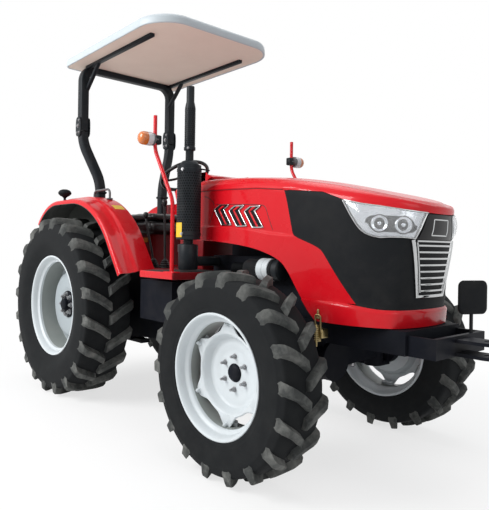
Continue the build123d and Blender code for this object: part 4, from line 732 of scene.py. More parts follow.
def crease_height(x):
    """Height of the side crease: level behind, falling to the nose panel's waist."""
    return np.interp(x, [-0.80, -0.47, -0.31, -0.15, 0.05, 0.20], [1.352, 1.348, 1.330, 1.304, 1.286, 1.250])


def seam_height(x):
    """Height of the seam under the crown, falling slowly forward."""
    return np.interp(x, [-0.82, -0.53, -0.24, -0.017], [1.598, 1.592, 1.581, 1.558])


def hood_wall(s, z, out=0.0):
    """Point of the hood's wall at length s and height z: plan, shoulder, recess, skirt, front limit."""
    s, z = np.broadcast_arrays(np.asarray(s, float), np.asarray(z, float))
    x, y, nx, ny = plan_line(s)
    shoulder = shoulder_at(s)
    below = np.clip(shoulder - (crown_height(x) - z), 0, shoulder)
    drawn = shoulder - np.sqrt(np.clip(shoulder ** 2 - below ** 2, 0, None))
    crease, seam = crease_height(x), seam_height(x)
    recess = RECESS * step(z, crease - 0.004, crease + 0.012) * (1 - step(z, seam - 0.006, seam + 0.006))
    recess = recess * (1 - step(x, -0.02, 0.10))
    skirt = 0.012 * step(skirt_top(s) - z, -0.006, 0.014) * step(x, 0.18, 0.36)
    move = out - drawn - recess + skirt
    x, y = x + nx * move, y + ny * move
    return np.stack([cut_nose(x, y, z, out + skirt) + FRONT_X, y, z], axis=-1)


def wall_patch(left, right, low, high, rows=24, cols=48, out=0.0):
    """Patch of the wall: at each height share the plan length runs from one edge line to the other."""
    b = np.linspace(0, 1, rows)[:, None]
    a = np.linspace(0, 1, cols)[None]
    s = left(b) + (right(b) - left(b)) * a
    return hood_wall(s, low(s) + (high(s) - low(s)) * b, out)


def shell(points, thickness, slit=False):
    """A patch given a wall: its grid moved in along the normals, edges closed, save where it meets itself."""
    normal = np.cross(np.gradient(points, axis=0), np.gradient(points, axis=1))
    normal /= np.linalg.norm(normal, axis=2, keepdims=True) + 1e-12
    rows, cols = points.shape[:2]
    size = rows * cols
    inner = points - normal * thickness
    if slit:
        inner[-1, :, 1] = 0
    front, back = surface(points), surface(inner)
    faces = front[1] + [[index + size for index in face[::-1]] for face in back[1]]
    ring = np.concatenate([
        np.arange(cols), np.arange(1, rows) * cols + cols - 1,
        (rows - 1) * cols + np.arange(cols - 2, -1, -1), np.arange(rows - 2, 0, -1) * cols,
    ])
    walls = np.stack([np.roll(ring, -1), ring, ring + size, np.roll(ring, -1) + size], axis=1)
    if slit:
        walls = walls[(walls[:, :2] < size - cols).any(axis=1)]
    faces += walls.tolist()
    return np.concatenate([front[0], back[0]]), faces


def lip_line(x):
    """Height of the nose panel's upper edge, which is also the lip's lower edge."""
    return np.interp(x, [-0.017, 0.265, 0.395, 0.500, 0.590, 0.665, 0.730, 0.790],
                     [1.556, 1.524, 1.478, 1.453, 1.437, 1.422, 1.410, 1.402])


panel_edge = smooth_line([
    (0.487, 0.935), (0.403, 1.045), (0.330, 1.142), (0.283, 1.202), (0.250, 1.232), (0.190, 1.256), (0.100, 1.282),
    (0.062, 1.302), (0.046, 1.350), (0.007, 1.488), (-0.017, 1.556),
], 6)
arch = smooth_line([
    (0.235, 0.825), (0.176, 0.880), (0.096, 0.984), (0.025, 1.082), (-0.038, 1.141), (-0.150, 1.186), (-0.310, 1.222),
    (-0.560, 1.250), (-0.815, 1.263),
], 6)


def edge_length(z):
    """Plan length of the nose panel's rear edge at a height."""
    return length_at(np.interp(z, panel_edge[:, 1], panel_edge[:, 0]))


def rear_side(hand):
    """Red rear side: rows at rising heights from the arch or the rear edge forward to the nose panel."""
    above = arch[arch[:, 1] > SKIRT_TOP]
    upper = np.linspace(1.268, 1.600, 64)
    z_rows = np.concatenate([[SKIRT_TOP], above[:, 1], upper])[:, None]
    x_left = np.concatenate([[np.interp(SKIRT_TOP, arch[:, 1], arch[:, 0])], above[:, 0],
                             np.full(64, HOOD_REAR)])[:, None]
    a = np.linspace(0, 1, 44)[None]
    s = length_at(x_left) * (1 - a) + edge_length(z_rows) * a
    top = lip_top(s)
    share = np.clip((z_rows - 1.430) / 0.170, 0, 1)
    z = z_rows * (1 - share) + (1.430 + (top - 1.430) * share) * share
    return hood_wall(hand * s, z)


def hood_crown():
    """Crown: round the shoulder's quarter circle, then in to the middle with a crest on each side."""
    rear = length_at(HOOD_REAR)
    side = np.linspace(SIDE_START, rear, 60)
    s = np.concatenate([-side[::-1], np.linspace(-SIDE_START, SIDE_START, 90)[1:-1], side])[None]
    x, y, nx, ny = plan_line(s)
    start = math.asin(0.65)
    angle = np.linspace(start, math.pi / 2, 12)[:, None]
    shoulder = shoulder_at(s)
    drawn = shoulder * (1 - np.cos(angle))
    rim = np.stack([x - nx * drawn, y - ny * drawn], axis=2)
    rim_z = crown_height(x) - shoulder * (1 - np.sin(angle))
    v = np.linspace(0, 1, 18)[1:, None]
    spine = np.stack([np.minimum(rim[-1:, :, 0], 0.42), 0 * rim[-1:, :, 1]], axis=2)
    flat = rim[-1:] + (spine - rim[-1:]) * v[..., None]
    relief = 0.018 * (1 - (1 - v) ** 2) - 0.006 * np.exp(-((v - 0.34) / 0.07) ** 2)
    flat_z = crown_height(flat[..., 0]) + relief * step(0.68 - flat[..., 0], 0.0, 0.8)
    xy, z = np.concatenate([rim, flat]), np.concatenate([rim_z, flat_z])
    return np.stack([cut_nose(xy[..., 0], xy[..., 1], z, 0.0) + FRONT_X, xy[..., 1], z], axis=2)


def level(height):
    """Edge line at one height."""
    return lambda s: np.full_like(s, height)


def lip_low(s):
    """Lip's lower edge along the plan."""
    return lip_line(plan_line(s)[0])


def lip_top(s):
    """Lip's upper edge along the plan, where the crown begins."""
    return crown_height(plan_line(s)[0]) - shoulder_at(s) * 0.35


def panel_side(b):
    """Rear edge of the nose panel by height share."""
    return edge_length(SKIRT_TOP + (panel_edge[-1, 1] - SKIRT_TOP) * b)


def skirt_side(b):
    """Rear edge of the skirt by height share, along the arch."""
    return length_at(np.interp(SKIRT_LOW + (SKIRT_TOP - SKIRT_LOW) * b, arch[:, 1], arch[:, 0]))


lip_end = float(length_at(panel_edge[-1, 0]))
lip = wall_patch(lambda b: -lip_end + 0 * b, lambda b: lip_end + 0 * b, lip_low, lip_top, 12, 120)
skirt = wall_patch(lambda b: -skirt_side(b), skirt_side, level(SKIRT_LOW), skirt_top, 20, 130)
hood_red = [shell(hood_crown(), -SHEET, slit=True), shell(rear_side(-1), -SHEET), shell(rear_side(1), SHEET),
            shell(lip, SHEET), shell(skirt, SHEET)]
piece("hood_red_shell", joined(hood_red), "red_paint", "hood", ["hood_shell"], sharp=30)
panel = wall_patch(lambda b: -panel_side(b), panel_side, skirt_top, lip_low, 44, 130, -0.004)
piece("hood_nose_panel_skin", shell(panel, 0.005), "black_plastic", "hood", ["hood_nose_panel"], sharp=30)


def side_cord(points, hand, width, depth, out):
    """Thin strip laid along a line of x and z places on the hood's side wall."""
    line = smooth_line(points, 8)
    path = hood_wall(hand * length_at(line[:, 0]), line[:, 1], out)
    return carried(path, box_section(width, depth, min(width, depth) * 0.4, 3), up=(0, 1, 0))


def hood_seams():
    """Dark seam lines on both sides: under the crown, round the vent field and down its rear."""
    under = np.stack([np.linspace(-0.80, -0.03, 14), seam_height(np.linspace(-0.80, -0.03, 14))], axis=1)
    field = [(-0.620, 1.500), (-0.375, 1.488), (-0.217, 1.478), (-0.174, 1.466), (-0.156, 1.440), (-0.138, 1.397),
             (-0.104, 1.323)]
    rear = [(-0.740, 1.560), (-0.675, 1.534), (-0.640, 1.494), (-0.657, 1.440), (-0.685, 1.372)]
    seams = (under, field, rear)
    return joined([side_cord(line, hand, 0.0065, 0.004, -0.0010) for hand in (-1, 1) for line in seams])


piece("hood_seam_lines", hood_seams(), "dark_red_paint", "hood")


def upright_seam(s, low, high, hand, out, width=0.0035):
    """Thin upright cord on the wall between two heights, its plan length given at both ends."""
    t = np.linspace(0, 1, 12)
    path = hood_wall(hand * (s[0] + (s[1] - s[0]) * t), low + (high - low) * t, out)
    return carried(path, box_section(width, width, width * 0.4, 3), up=(1, 0, 0))


panel_seams = [upright_seam((0.452, 0.440), SKIRT_TOP, 1.262, hand, -0.0045) for hand in (-1, 1)]
piece("hood_panel_seams", joined(panel_seams), "hole_black", "hood")
skirt_seams = [upright_seam((0.446, 0.452), SKIRT_LOW + 0.002, SKIRT_TOP - 0.010, hand, -0.0012) for hand in (-1, 1)]
piece("hood_skirt_seams", joined(skirt_seams), "dark_red_paint", "hood")


def prism(outline, low, high, axis="y"):
    """Flat outline given a thickness along Y, or along another axis, with both faces closed."""
    outline = np.asarray(outline, float)
    ends = []
    for level_at in (low, high):
        fixed = np.full((len(outline), 1), level_at)
        ends.append(np.concatenate({
            "y": [outline[:, :1], fixed, outline[:, 1:]], "x": [fixed, outline], "z": [outline, fixed],
        }[axis], axis=1))
    return surface(np.stack(ends), wrap_cols=True, caps=True)


def vent_outline(index, grow):
    """Outline of one vent fin: short upper arm, kink and long lower arm, sized about its middle."""
    kink, level_at = FRONT_X - 0.631 + 0.143 * index, 1.463 - 0.010 * index
    wide = 0.090
    corners = np.array([(0, 0), (0.050, 0.027), (0.050 + wide, 0.027), (wide, 0), (0.074 + wide, -0.102),
                        (0.074, -0.102)])
    middle = np.array([0.074, -0.030])
    return middle + (corners - middle) * grow + (kink, level_at)


def vent_set(hand):
    """Vent fins of one side: black backs, bright frames and a red blade down the middle of each."""
    face = hand * (HOOD_HALF - RECESS)
    backs, frames, blades = [], [], []
    for index in range(VENTS):
        outer = vent_outline(index, 1.0)
        backs.append(prism(vent_outline(index, 0.97), face - hand * 0.004, face + hand * 0.003))
        ring = np.concatenate([np.linspace(a, b, 8, endpoint=False) for a, b in zip(outer, np.roll(outer, -1, 0))])
        path = np.stack([ring[:, 0], np.full(len(ring), face + hand * 0.004), ring[:, 1]], axis=1)
        frames.append(carried(path, box_section(0.010, 0.009, 0.003, 3), up=(0, 1, 0), closed=True))
        blade = np.array([(outer[1] + outer[2]) / 2, (outer[0] + outer[3]) / 2, (outer[4] + outer[5]) / 2])
        blade = np.stack([blade[:, 0], np.full(3, face + hand * 0.004), blade[:, 1]], axis=1)
        path = np.concatenate([np.linspace(blade[0], blade[1], 4)[:-1], np.linspace(blade[1], blade[2], 8)])
        blades.append(carried(path, box_section(0.014, 0.008, 0.003, 3), up=(0, 1, 0)))
    return joined(backs), joined(frames), joined(blades)


vent_sides = [vent_set(hand) for hand in (-1, 1)]
piece("hood_vent_backs", joined([parts[0] for parts in vent_sides]), "black_plastic", "hood", ["hood_vents"])
piece("hood_vent_frames", joined([parts[1] for parts in vent_sides]), "chrome", "hood", sharp=50)
piece("hood_vent_blades", joined([parts[2] for parts in vent_sides]), "red_paint", "hood", sharp=50)


# Grille on the leaning face, and the plain field above it
def on_face(y, z, out=0.0):
    """Point of the nose at a crosswise place and height."""
    return hood_wall(NOSE_ARC * np.arcsin(np.clip(np.asarray(y, float) / NOSE_ARC, -1, 1)), z, out)


def grille_half(z):
    """Half width of the grille at a height, narrowing downwards."""
    return np.interp(z, [0.980, 1.270, 1.275, 1.402], [0.126, 0.192, 0.164, 0.117])


def grille_field(low, high, inset, out, rows, cols):
    """Patch of the nose between two heights inside the grille's outline."""
    z = np.linspace(low, high, rows)[:, None]
    a = np.linspace(-1, 1, cols)[None]
    return on_face(a * (grille_half(z) - inset), z, out)


def grille_bars():
    """Bright cross bars of the grille, each a rounded strip carried across the face."""
    bars = []
    for z in np.linspace(1.010, 1.240, 8):
        y = np.linspace(-1, 1, 25) * (grille_half(z) - 0.027)
        bars.append(carried(on_face(y, z, 0.006), box_section(0.014, 0.011, 0.004, 3)))
    return joined(bars)


def grille_trim():
    """Bright trim: two tapering side strips and a foot that outline the grille, and an inner frame."""
    shapes = []
    z = np.linspace(0.978, 1.269, 24)
    for hand in (-1, 1):
        path = on_face(hand * (grille_half(z) - 0.004), z, 0.006)
        shapes.append(carried(path, box_section(0.026, 0.016, 0.006), up=(1, 0, 0), scale=np.linspace(0.75, 1.0, 24)))
        inner = on_face(hand * (grille_half(z[2:-1]) - 0.026), z[2:-1], 0.005)
        shapes.append(carried(inner, box_section(0.008, 0.010, 0.003, 3), up=(1, 0, 0)))
    for height, inset, size in ((0.982, 0.002, 0.016), (1.262, 0.022, 0.010)):
        y = np.linspace(-1, 1, 25) * (grille_half(height) - inset)
        shapes.append(carried(on_face(y, height, 0.006), box_section(0.014, size, 0.004, 3)))
    return joined(shapes)


def field_frame():
    """Plain square frame with nothing inside it, in the field between the lamps."""
    corners = [(-0.072, 1.292), (0.072, 1.292), (0.066, 1.372), (-0.066, 1.372)]
    ring = np.concatenate([np.linspace(a, b, 10, endpoint=False) for a, b in zip(corners, corners[1:] + corners[:1])])
    return carried(on_face(ring[:, 0], ring[:, 1], 0.005), box_section(0.007, 0.006, 0.002, 3),
                   up=(1, 0, 0), closed=True)


piece("grille_back", shell(grille_field(0.985, 1.268, 0.006, 0.001, 20, 30), 0.004), "black_plastic",
      "hood", ["grille"])
piece("grille_bars", grille_bars(), "chrome", "hood", sharp=50)
piece("grille_trim", grille_trim(), "chrome", "hood", sharp=50)
piece("emblem_field", shell(grille_field(1.270, 1.398, 0.004, 0.002, 12, 30), 0.004), "gloss_black", "hood")
piece("emblem_frame", field_frame(), "chrome", "hood", sharp=50)


# Headlamps
def lamp_outer(b):
    """Outer edge of the lamp by height share: sweeping back and up from the rounded lower corner."""
    return np.interp(b, [0, 0.05, 0.11, 0.22, 0.35, 0.67, 1], [0.370, 0.405, 0.437, 0.466, 0.487, 0.528, 0.568])


def lamp_inner(b):
    """Inner edge of the lamp by height share, along the plain field."""
    return np.interp(b, [0, 1], [0.190, 0.128])


def lamp_low(s):
    """Lower edge of the lamp along the plan."""
    return np.interp(np.abs(s), [0.12, 0.20, 0.26, 0.33, 0.40], [1.274, 1.275, 1.280, 1.281, 1.276])


def lamp_patch(hand, out, inset=0.0, rows=22, cols=60, bulge=0.0):
    """Lamp outline laid on the wall at an offset, drawn in by the inset."""
    b = np.linspace(inset * 4, 1 - inset * 4, rows)[:, None]
    a = np.linspace(0, 1, cols)[None]
    s = lamp_outer(b) - inset * 1.5 + (lamp_inner(b) - lamp_outer(b) + 3 * inset) * a
    full = np.sqrt(np.clip(np.sin(math.pi * a) * np.sin(math.pi * np.clip(b, 0, 1)), 0, 1))
    return hood_wall(hand * s, lamp_low(s) + (lip_low(s) - 0.003 - lamp_low(s)) * b, out + bulge * full)


def lamp_bezel(hand):
    """Bright bead round the lamp, carried along the edge of its outline."""
    grid = lamp_patch(hand, 0.007)
    ring = np.concatenate([grid[0, :-1], grid[:-1, -1], grid[-1, :0:-1], grid[:0:-1, 0]])
    return carried(ring, circle_section(0.0042, 8), up=(0.3, 0, 1), closed=True)


def lamp_inside(hand):
    """Fluted silver housing behind the lens: the patch with a small wave along its length."""
    grid = lamp_patch(hand, 0.001, 0.004, 26, 110, 0.007)
    wave = 0.0004 * np.sin(np.linspace(0, 30 * math.pi, 110))[None] * np.linspace(0.2, 1, 26)[:, None]
    grid[..., 0] += wave
    return shell(grid, 0.003 * hand)


def reflector(hand, s, z, radius):
    """Round reflector: a bright rim, a bowl and a bulb cap turned about the wall's normal."""
    centre = hood_wall(hand * s, z, 0.011)
    ahead = hood_wall(hand * s, z, 0.021) - centre
    normal = ahead / np.linalg.norm(ahead)
    r = np.array([1.0, 0.98, 0.9, 0.82, 0.7, 0.5, 0.3, 0.26, 0.24, 0.16, 0.0]) * radius
    h = np.array([-0.002, 0.004, 0.006, 0.004, 0.0005, -0.001, -0.0012, 0.002, 0.006, 0.009, 0.010])
    return set_on(turned(np.stack([r, h], axis=1), (0, 0, 0), "z", 36), [centre], normal)


def lamp_mask(hand):
    """Dark surround of the two reflectors: a band of the wall with rounded ends."""
    a = np.linspace(-1, 1, 50)[None]
    b = np.linspace(-1, 1, 14)[:, None]
    tall = 0.040 * (1 - np.abs(a) ** 6) ** 0.5 + 0.0015
    band = hood_wall(hand * (0.318 + 0.118 * a + 0.010 * b), 1.345 + tall * b + 0.006 * a, 0.0095)
    return shell(band, 0.002 * hand)


def reflector_rim(hand, s, z):
    """Dark ring round a reflector: a round section carried along a circle laid on the wall."""
    t = np.arange(40) * TAU / 40
    ring = hood_wall(hand * (s + 0.043 * np.cos(t)), z + 0.043 * np.sin(t), 0.012)
    return carried(ring, circle_section(0.0035, 8), up=(0.2, 0.1, 1), closed=True)


REFLECTORS = ((0.375, 1.348), (0.262, 1.340))
for hand, name in SIDES:
    lens = lamp_patch(hand, 0.008, 0.001, 24, 64, 0.032)
    bowls = [reflector(hand, s, z, 0.042) for s, z in REFLECTORS]
    rims = [reflector_rim(hand, s, z) for s, z in REFLECTORS]
    replaced = ["headlamps"] if hand < 0 else ()
    piece(f"headlamp_{name}_mask", lamp_mask(hand), "gloss_black", "hood", sharp=60)
    piece(f"headlamp_{name}_housing", lamp_inside(hand), "lamp_silver", "hood", replaced, sharp=60)
    piece(f"headlamp_{name}_reflectors", joined(bowls), "lamp_silver", "hood", sharp=60)
    piece(f"headlamp_{name}_dark_rims", joined(rims), "gloss_black", "hood")
    piece(f"headlamp_{name}_lens", shell(lens, 0.003 * hand), "lamp_lens", "hood", sharp=60)
    piece(f"headlamp_{name}_bezel", lamp_bezel(hand), "chrome", "hood", sharp=60)


# Exhaust beside the hood
EXHAUST = np.array([FRONT_X - 0.740, -0.475, 0.0])
MUFFLER, STACK = 0.080, 0.0355


def round_holes(radius, bottom, top, pitch, size):
    """Staggered small dark discs laid on an upright round guard, one six-sided disc per hole."""
    rows, count = int((top - bottom) / pitch), int(TAU * radius / pitch)
    row, col = (part.ravel() for part in np.meshgrid(np.arange(rows), np.arange(count), indexing="ij"))
    angle = (col + 0.5 * (row % 2)) * TAU / count
    height = bottom + (row + 0.5) * (top - bottom) / rows
    corner = np.arange(6) * TAU / 6
    turn = angle[:, None] + size * np.cos(corner)[None] / radius
    z = height[:, None] + size * np.sin(corner)[None]
    points = np.stack([(radius + 0.0006) * np.cos(turn), (radius + 0.0006) * np.sin(turn), z], axis=2)
    return points.reshape(-1, 3) + EXHAUST, np.arange(len(angle) * 6).reshape(-1, 6).tolist()


muffler = smooth_line([(0.034, 1.262), (0.060, 1.264), (0.077, 1.270), (MUFFLER, 1.282), (MUFFLER, 1.300),
                       (MUFFLER, 1.720), (0.079, 1.738), (0.070, 1.752), (0.060, 1.770), (0.050, 1.782),
                       (0.034, 1.788), (0.027, 1.792)], 3)
stack = np.array([(0.027, 1.790), (0.027, 1.850), (0.030, 1.856), (STACK, 1.862), (STACK, 2.140), (0.030, 2.168),
                  (0.0265, 2.180), (0.0265, 2.240), (0.0262, 2.281), (0.0225, 2.281), (0.0225, 2.235), (0.0, 2.235)])
elbow = [EXHAUST + (0, 0.258, 1.120), EXHAUST + (0, 0, 1.120), EXHAUST + (0, 0, 1.268)]
exhaust_shapes = [
    turned(muffler, EXHAUST, "z", 64), turned(stack, EXHAUST, "z", 36),
    carried(bent_path(elbow, 0.06, 10), circle_section(0.033, 24), up=(1, 0, 0)),
]
for height, size in ((1.300, 0.083), (1.722, 0.083), (1.868, 0.039)):
    band = np.array([(size - 0.004, -0.011), (size, -0.009), (size, 0.009), (size - 0.004, 0.011)])
    exhaust_shapes.append(turned(band, EXHAUST + (0, 0, height), "z", 48))
shield = np.array([(0.030, 1.062), (0.060, 1.064), (0.066, 1.072), (0.066, 1.222), (0.060, 1.232), (0.036, 1.236)])
exhaust_shapes.append(turned(shield, EXHAUST, "z", 40))
exhaust_shapes.append(bar(EXHAUST + (0.058, 0.044, 1.733), EXHAUST + (0.104, 0.090, 1.722), 0.022, 0.008, 0.002))
piece("exhaust_muffler_and_stack", joined(exhaust_shapes), "frame_paint", "chassis", ["exhaust"])
guard = [round_holes(MUFFLER, 1.316, 1.708, 0.0165, 0.0052), round_holes(STACK, 1.884, 2.136, 0.0140, 0.0046)]
piece("exhaust_guard_holes", joined(guard), "hole_black", "chassis", weld=False)
clamp_bolts = [set_on(hex_bolt(0.008, 0.012), [EXHAUST + (0.030, -0.078, z) for z in (1.300, 1.722)],
                      (0.36, -0.93, 0))]
clamp_bolts.append(set_on(hex_bolt(0.006, 0.010), [EXHAUST + (0.022, -0.031, 1.868)], (0.58, -0.81, 0)))
piece("exhaust_clamps", joined(clamp_bolts), "steel", "chassis")
patch_turn = np.linspace(math.radians(244), math.radians(290), 10)
around = np.stack([np.cos(patch_turn), np.sin(patch_turn), 0 * patch_turn], axis=1) * (MUFFLER + 0.0025)
patch = np.stack([around + EXHAUST + (0, 0, z) for z in (1.278, 1.374)])
piece("exhaust_plain_patch", shell(patch, 0.0008), "yellow_patch", "chassis")


# Air cleaner and hose at the engine's side
CLEANER = np.array([FRONT_X - 0.215, -0.281, 1.085])
can = np.array([(0.0, 0.150), (0.050, 0.150), (0.060, 0.146), (0.063, 0.138), (0.063, 0.100), (0.066, 0.097),
                (0.066, 0.082), (0.062, 0.078), (0.062, 0.020), (0.064, 0.016), (0.064, 0.006), (0.062, 0.002),
                (0.062, -0.130), (0.056, -0.144), (0.036, -0.150)])
piece("air_cleaner_can", turned(can, CLEANER, "x", 40), "black_plastic", "chassis", ["air_cleaner"])
clips = np.array([(0.064, 0.074), (0.068, 0.072), (0.068, 0.034), (0.066, 0.032), (0.066, 0.028), (0.068, 0.026),
                  (0.068, -0.018), (0.064, -0.020)])
lid = np.array([(0.0, 0.1515), (0.046, 0.1515), (0.058, 0.147), (0.064, 0.140), (0.0645, 0.104)])
piece("air_cleaner_band", turned(clips, CLEANER, "x", 40), "wheel_paint", "chassis")
piece("air_cleaner_lid", turned(lid, CLEANER, "x", 40), "frame_paint", "chassis")
hose_z = np.linspace(-0.148, -0.270, 49)
hose = np.stack([0.033 + 0.003 * np.cos(np.arange(49) * math.pi / 2), hose_z], axis=1)
piece("air_cleaner_hose", turned(np.concatenate([hose, [(0.0, -0.270)]]), CLEANER, "x", 28),
      "black_plastic", "chassis")


# Fenders over the rear tyres
def fender_line(drop):
    """Fender in the side view: rear arc, level run, front arc and straight skirt, moved in by the drop."""
    rear = np.linspace(math.radians(138.5), math.radians(90), 26)
    front = np.linspace(math.radians(90), math.radians(35), 34)[1:]
    x = np.concatenate([REAR_X - 0.180 + (0.568 - drop) * np.cos(rear),
                        REAR_X + 0.082 + (0.800 - drop) * np.cos(front)])
    z = np.concatenate([1.054 + (0.568 - drop) * np.sin(rear), 0.822 + (0.800 - drop) * np.sin(front)])
    away = np.array([math.sin(math.radians(35)), -math.cos(math.radians(35))])
    skirt = np.stack([x[-1:], z[-1:]], axis=1) + np.linspace(0, 0.300, 14)[1:, None] * away
    return np.concatenate([np.stack([x, z], axis=1), skirt])


def fender_sheet(side, under=0.0, thick=0.004):
    """Fender sheet: at each crosswise place the side line moved in by a drop, which makes steps and lip."""
    y = np.array([0.412, 0.440, 0.500, 0.552, 0.563, 0.572, 0.584, 0.592, 0.604, 0.616, 0.640, 0.668, 0.684, 0.693,
                  0.698, 0.700, 0.700])
    drop = np.array([0.001, 0.0, 0.0, 0.0, 0.002, 0.008, 0.014, 0.016, 0.018, 0.024, 0.026, 0.027, 0.029, 0.033,
                     0.040, 0.048, 0.064])
    lines = np.stack([fender_line(float(d)) for d in drop + under])
    points = np.stack([lines[..., 0], side * (y - 0.2 * under)[:, None] + 0 * lines[..., 0], lines[..., 1]], axis=2)
    return shell(points, -thick * side)


def fender_wall(side, near, far):
    """Upright inner wall: the side line closed down to the platform, given a sheet's thickness."""
    line = fender_line(0.004)
    outline = np.concatenate([line, [(REAR_X + 0.500, 1.026), (REAR_X - 0.200, 1.026)]])
    return prism(outline, side * near, side * far)


def mushroom(top, foot, radius):
    """Rubber disc lamp on a stalk as a turned profile."""
    return np.array([(0.0, top), (0.35 * radius, top - 0.001), (0.70 * radius, top - 0.008),
                     (0.92 * radius, top - 0.020), (radius, top - 0.033), (0.93 * radius, top - 0.043),
                     (0.68 * radius, top - 0.056), (0.36 * radius, top - 0.066),
                     (0.016, top - 0.071), (0.011, top - 0.075), (0.011, foot)])


for side, name in SIDES:
    sheet = joined([fender_sheet(side), fender_wall(side, 0.410, 0.413)])
    # Under each fender a dark sheet is laid beneath the red one: painted shade.
    shade_lining = joined([fender_wall(side, 0.4132, 0.4160), fender_sheet(side, 0.0048, 0.0012)])
    piece(f"fender_{name}_sheet", sheet, "red_paint", "chassis", [f"fender_{name}"], sharp=32)
    piece(f"fender_{name}_lining", shade_lining, "undercoat", "chassis")
    rear_foot, front_foot = REAR_X + 0.029, REAR_X + 0.291
    grip = np.array([(rear_foot, 1.612), (rear_foot, 1.681), (front_foot, 1.681), (front_foot, 1.590)])
    grip = np.stack([grip[:, 0], np.full(4, side * 0.450), grip[:, 1]], axis=1)
    shapes = [carried(bent_path(grip, 0.040, 8), circle_section(0.0095, 14), up=(0, 1, 0))]
    plate = np.array([(0.0, 0.006), (0.022, 0.006), (0.026, 0.003), (0.026, -0.004)])
    shapes += [turned(plate, foot, "z", 24) for foot in (grip[0] + (0, 0, 0.008), grip[-1] + (0, 0, 0.010))]
    piece(f"fender_{name}_grab_handle", joined(shapes), "frame_grey", "chassis",
          ["fender_fittings"] if side < 0 else ())
    disc = turned(mushroom(1.694, 1.570, 0.057), (REAR_X - 0.150, side * 0.640, 0), "z", 36)
    piece(f"fender_{name}_rear_disc", disc, "black_plastic", "chassis")
    strip = fender_line(-0.0008)
    near = (strip[:, 0] > REAR_X + 0.425) & (strip[:, 0] < REAR_X + 0.515)
    label = np.stack([np.stack([strip[near, 0], np.full(near.sum(), side * y), strip[near, 1]],
                               axis=1) for y in (0.430, 0.520)])
    piece(f"fender_{name}_plain_patch", shell(label, -0.0006 * side), "yellow_patch", "chassis")


# Roll bar legs, hinges, folding hoop, rails and canopy
POST_Y, TUBE = 0.470, 0.076
LEG_X, LEG_Y = REAR_X - 0.080, 0.335
HOOP_TOP, RAIL_Y, RAIL_Z = 2.785, 0.445, 2.800


def leg_path(side):
    """Leg from the hinge down: upright, a long double bend inwards and forwards, then down to the axle."""
    points = np.array([(POST_X, POST_Y, 2.195), (POST_X, POST_Y, 2.125), (LEG_X, LEG_Y, 1.775),
                       (LEG_X, LEG_Y, 0.830)])
    return bent_path(points * [1, side, 1], 0.42, 16)


def leg_set():
    """Both legs with their saddles on the axle and the clamp bands under the fender line."""
    shapes = []
    for side in (-1, 1):
        y = side * LEG_Y
        shapes.append(carried(leg_path(side), box_section(TUBE, TUBE, 0.016, 5), up=(0, 1, 0)))
        shapes.append(bar((REAR_X - 0.110, y, 0.822), (REAR_X + 0.110, y, 0.822), TUBE, 0.044, 0.006))
        shapes.append(bar((LEG_X, y, 1.672), (LEG_X, y, 1.694), TUBE + 0.010, TUBE + 0.010, 0.006, up=(0, 1, 0)))
    return joined(shapes)


def hinge_set():
    """Hinge cheeks as rounded plates on both faces of each leg with their bolts and the fold pin."""
    cheeks, bolts = [], []
    t = np.arange(40) * TAU / 40
    x = 0.045 * np.sign(np.cos(t)) * np.abs(np.cos(t)) ** 0.55
    z = 0.085 * np.sign(np.sin(t)) * np.abs(np.sin(t)) ** 0.7
    outline = np.stack([POST_X + x, 2.258 + z], axis=1)
    for side in (-1, 1):
        for face in (-1, 1):
            inner = side * POST_Y + face * 0.0383
            outer = inner + face * 0.010
            cheeks.append(prism(outline, inner, outer))
            small = [(POST_X + x, outer, z) for x, z in ((-0.020, 2.206), (0.020, 2.206), (0.018, 2.312))]
            bolts.append(set_on(hex_bolt(0.0125, 0.010), [(POST_X, outer, FOLD_Z)], (0, face, 0)))
            bolts.append(set_on(hex_bolt(0.0085, 0.008), small, (0, face, 0)))
    return joined(cheeks), joined(bolts)


piece("roll_bar_legs", leg_set(), "frame_paint", "chassis", ["rops_legs"])
hinge_plates, hinge_bolts = hinge_set()
piece("roll_bar_hinge_plates", hinge_plates, "frame_paint", "chassis")
piece("roll_bar_hinge_bolts", hinge_bolts, "steel", "chassis")


def hoop_set():
    """Folding hoop: a square tube round the corners, canopy rails and curved braces under them."""
    corners = [(POST_X, -POST_Y, 2.224), (POST_X, -POST_Y, HOOP_TOP), (POST_X, POST_Y, HOOP_TOP),
               (POST_X, POST_Y, 2.224)]
    shapes = [carried(bent_path(corners, 0.120, 14), box_section(TUBE, TUBE, 0.012, 4), up=(1, 0, 0))]
    brace = np.array([(0.010, 0.446, 2.580), (0.060, 0.446, 2.625), (0.160, 0.446, 2.715), (0.240, RAIL_Y, 2.795)])
    for side in (-1, 1):
        y = side * RAIL_Y
        shapes.append(bar((POST_X + 0.020, y, RAIL_Z), (REAR_X + 0.880, y, RAIL_Z), 0.040, 0.058, 0.006))
        line = smooth_line(brace * [1, side, 1] + [POST_X, 0, 0], 6)
        shapes.append(carried(line, box_section(0.030, 0.034, 0.008, 3), up=(0, 1, 0)))
    return joined(shapes)


def hoop_holes():
    """Small dark fitting holes down the outer faces of the hoop's posts, as shallow discs."""
    disc = turned(np.array([(0.0, 0.0008), (0.0055, 0.0008), (0.0055, 0.0)]), (0, 0, 0), "z", 10)
    shapes = []
    for side in (-1, 1):
        places = [(POST_X - 0.010, side * (POST_Y + TUBE / 2), z) for z in (2.370, 2.425, 2.500, 2.555)]
        shapes.append(set_on(disc, places, (0, side, 0)))
    return joined(shapes)


piece("roll_hoop_frame", hoop_set(), "frame_paint", "roof_frame", ["rops_hoop"])
piece("roll_hoop_holes", hoop_holes(), "hole_black", "roof_frame")


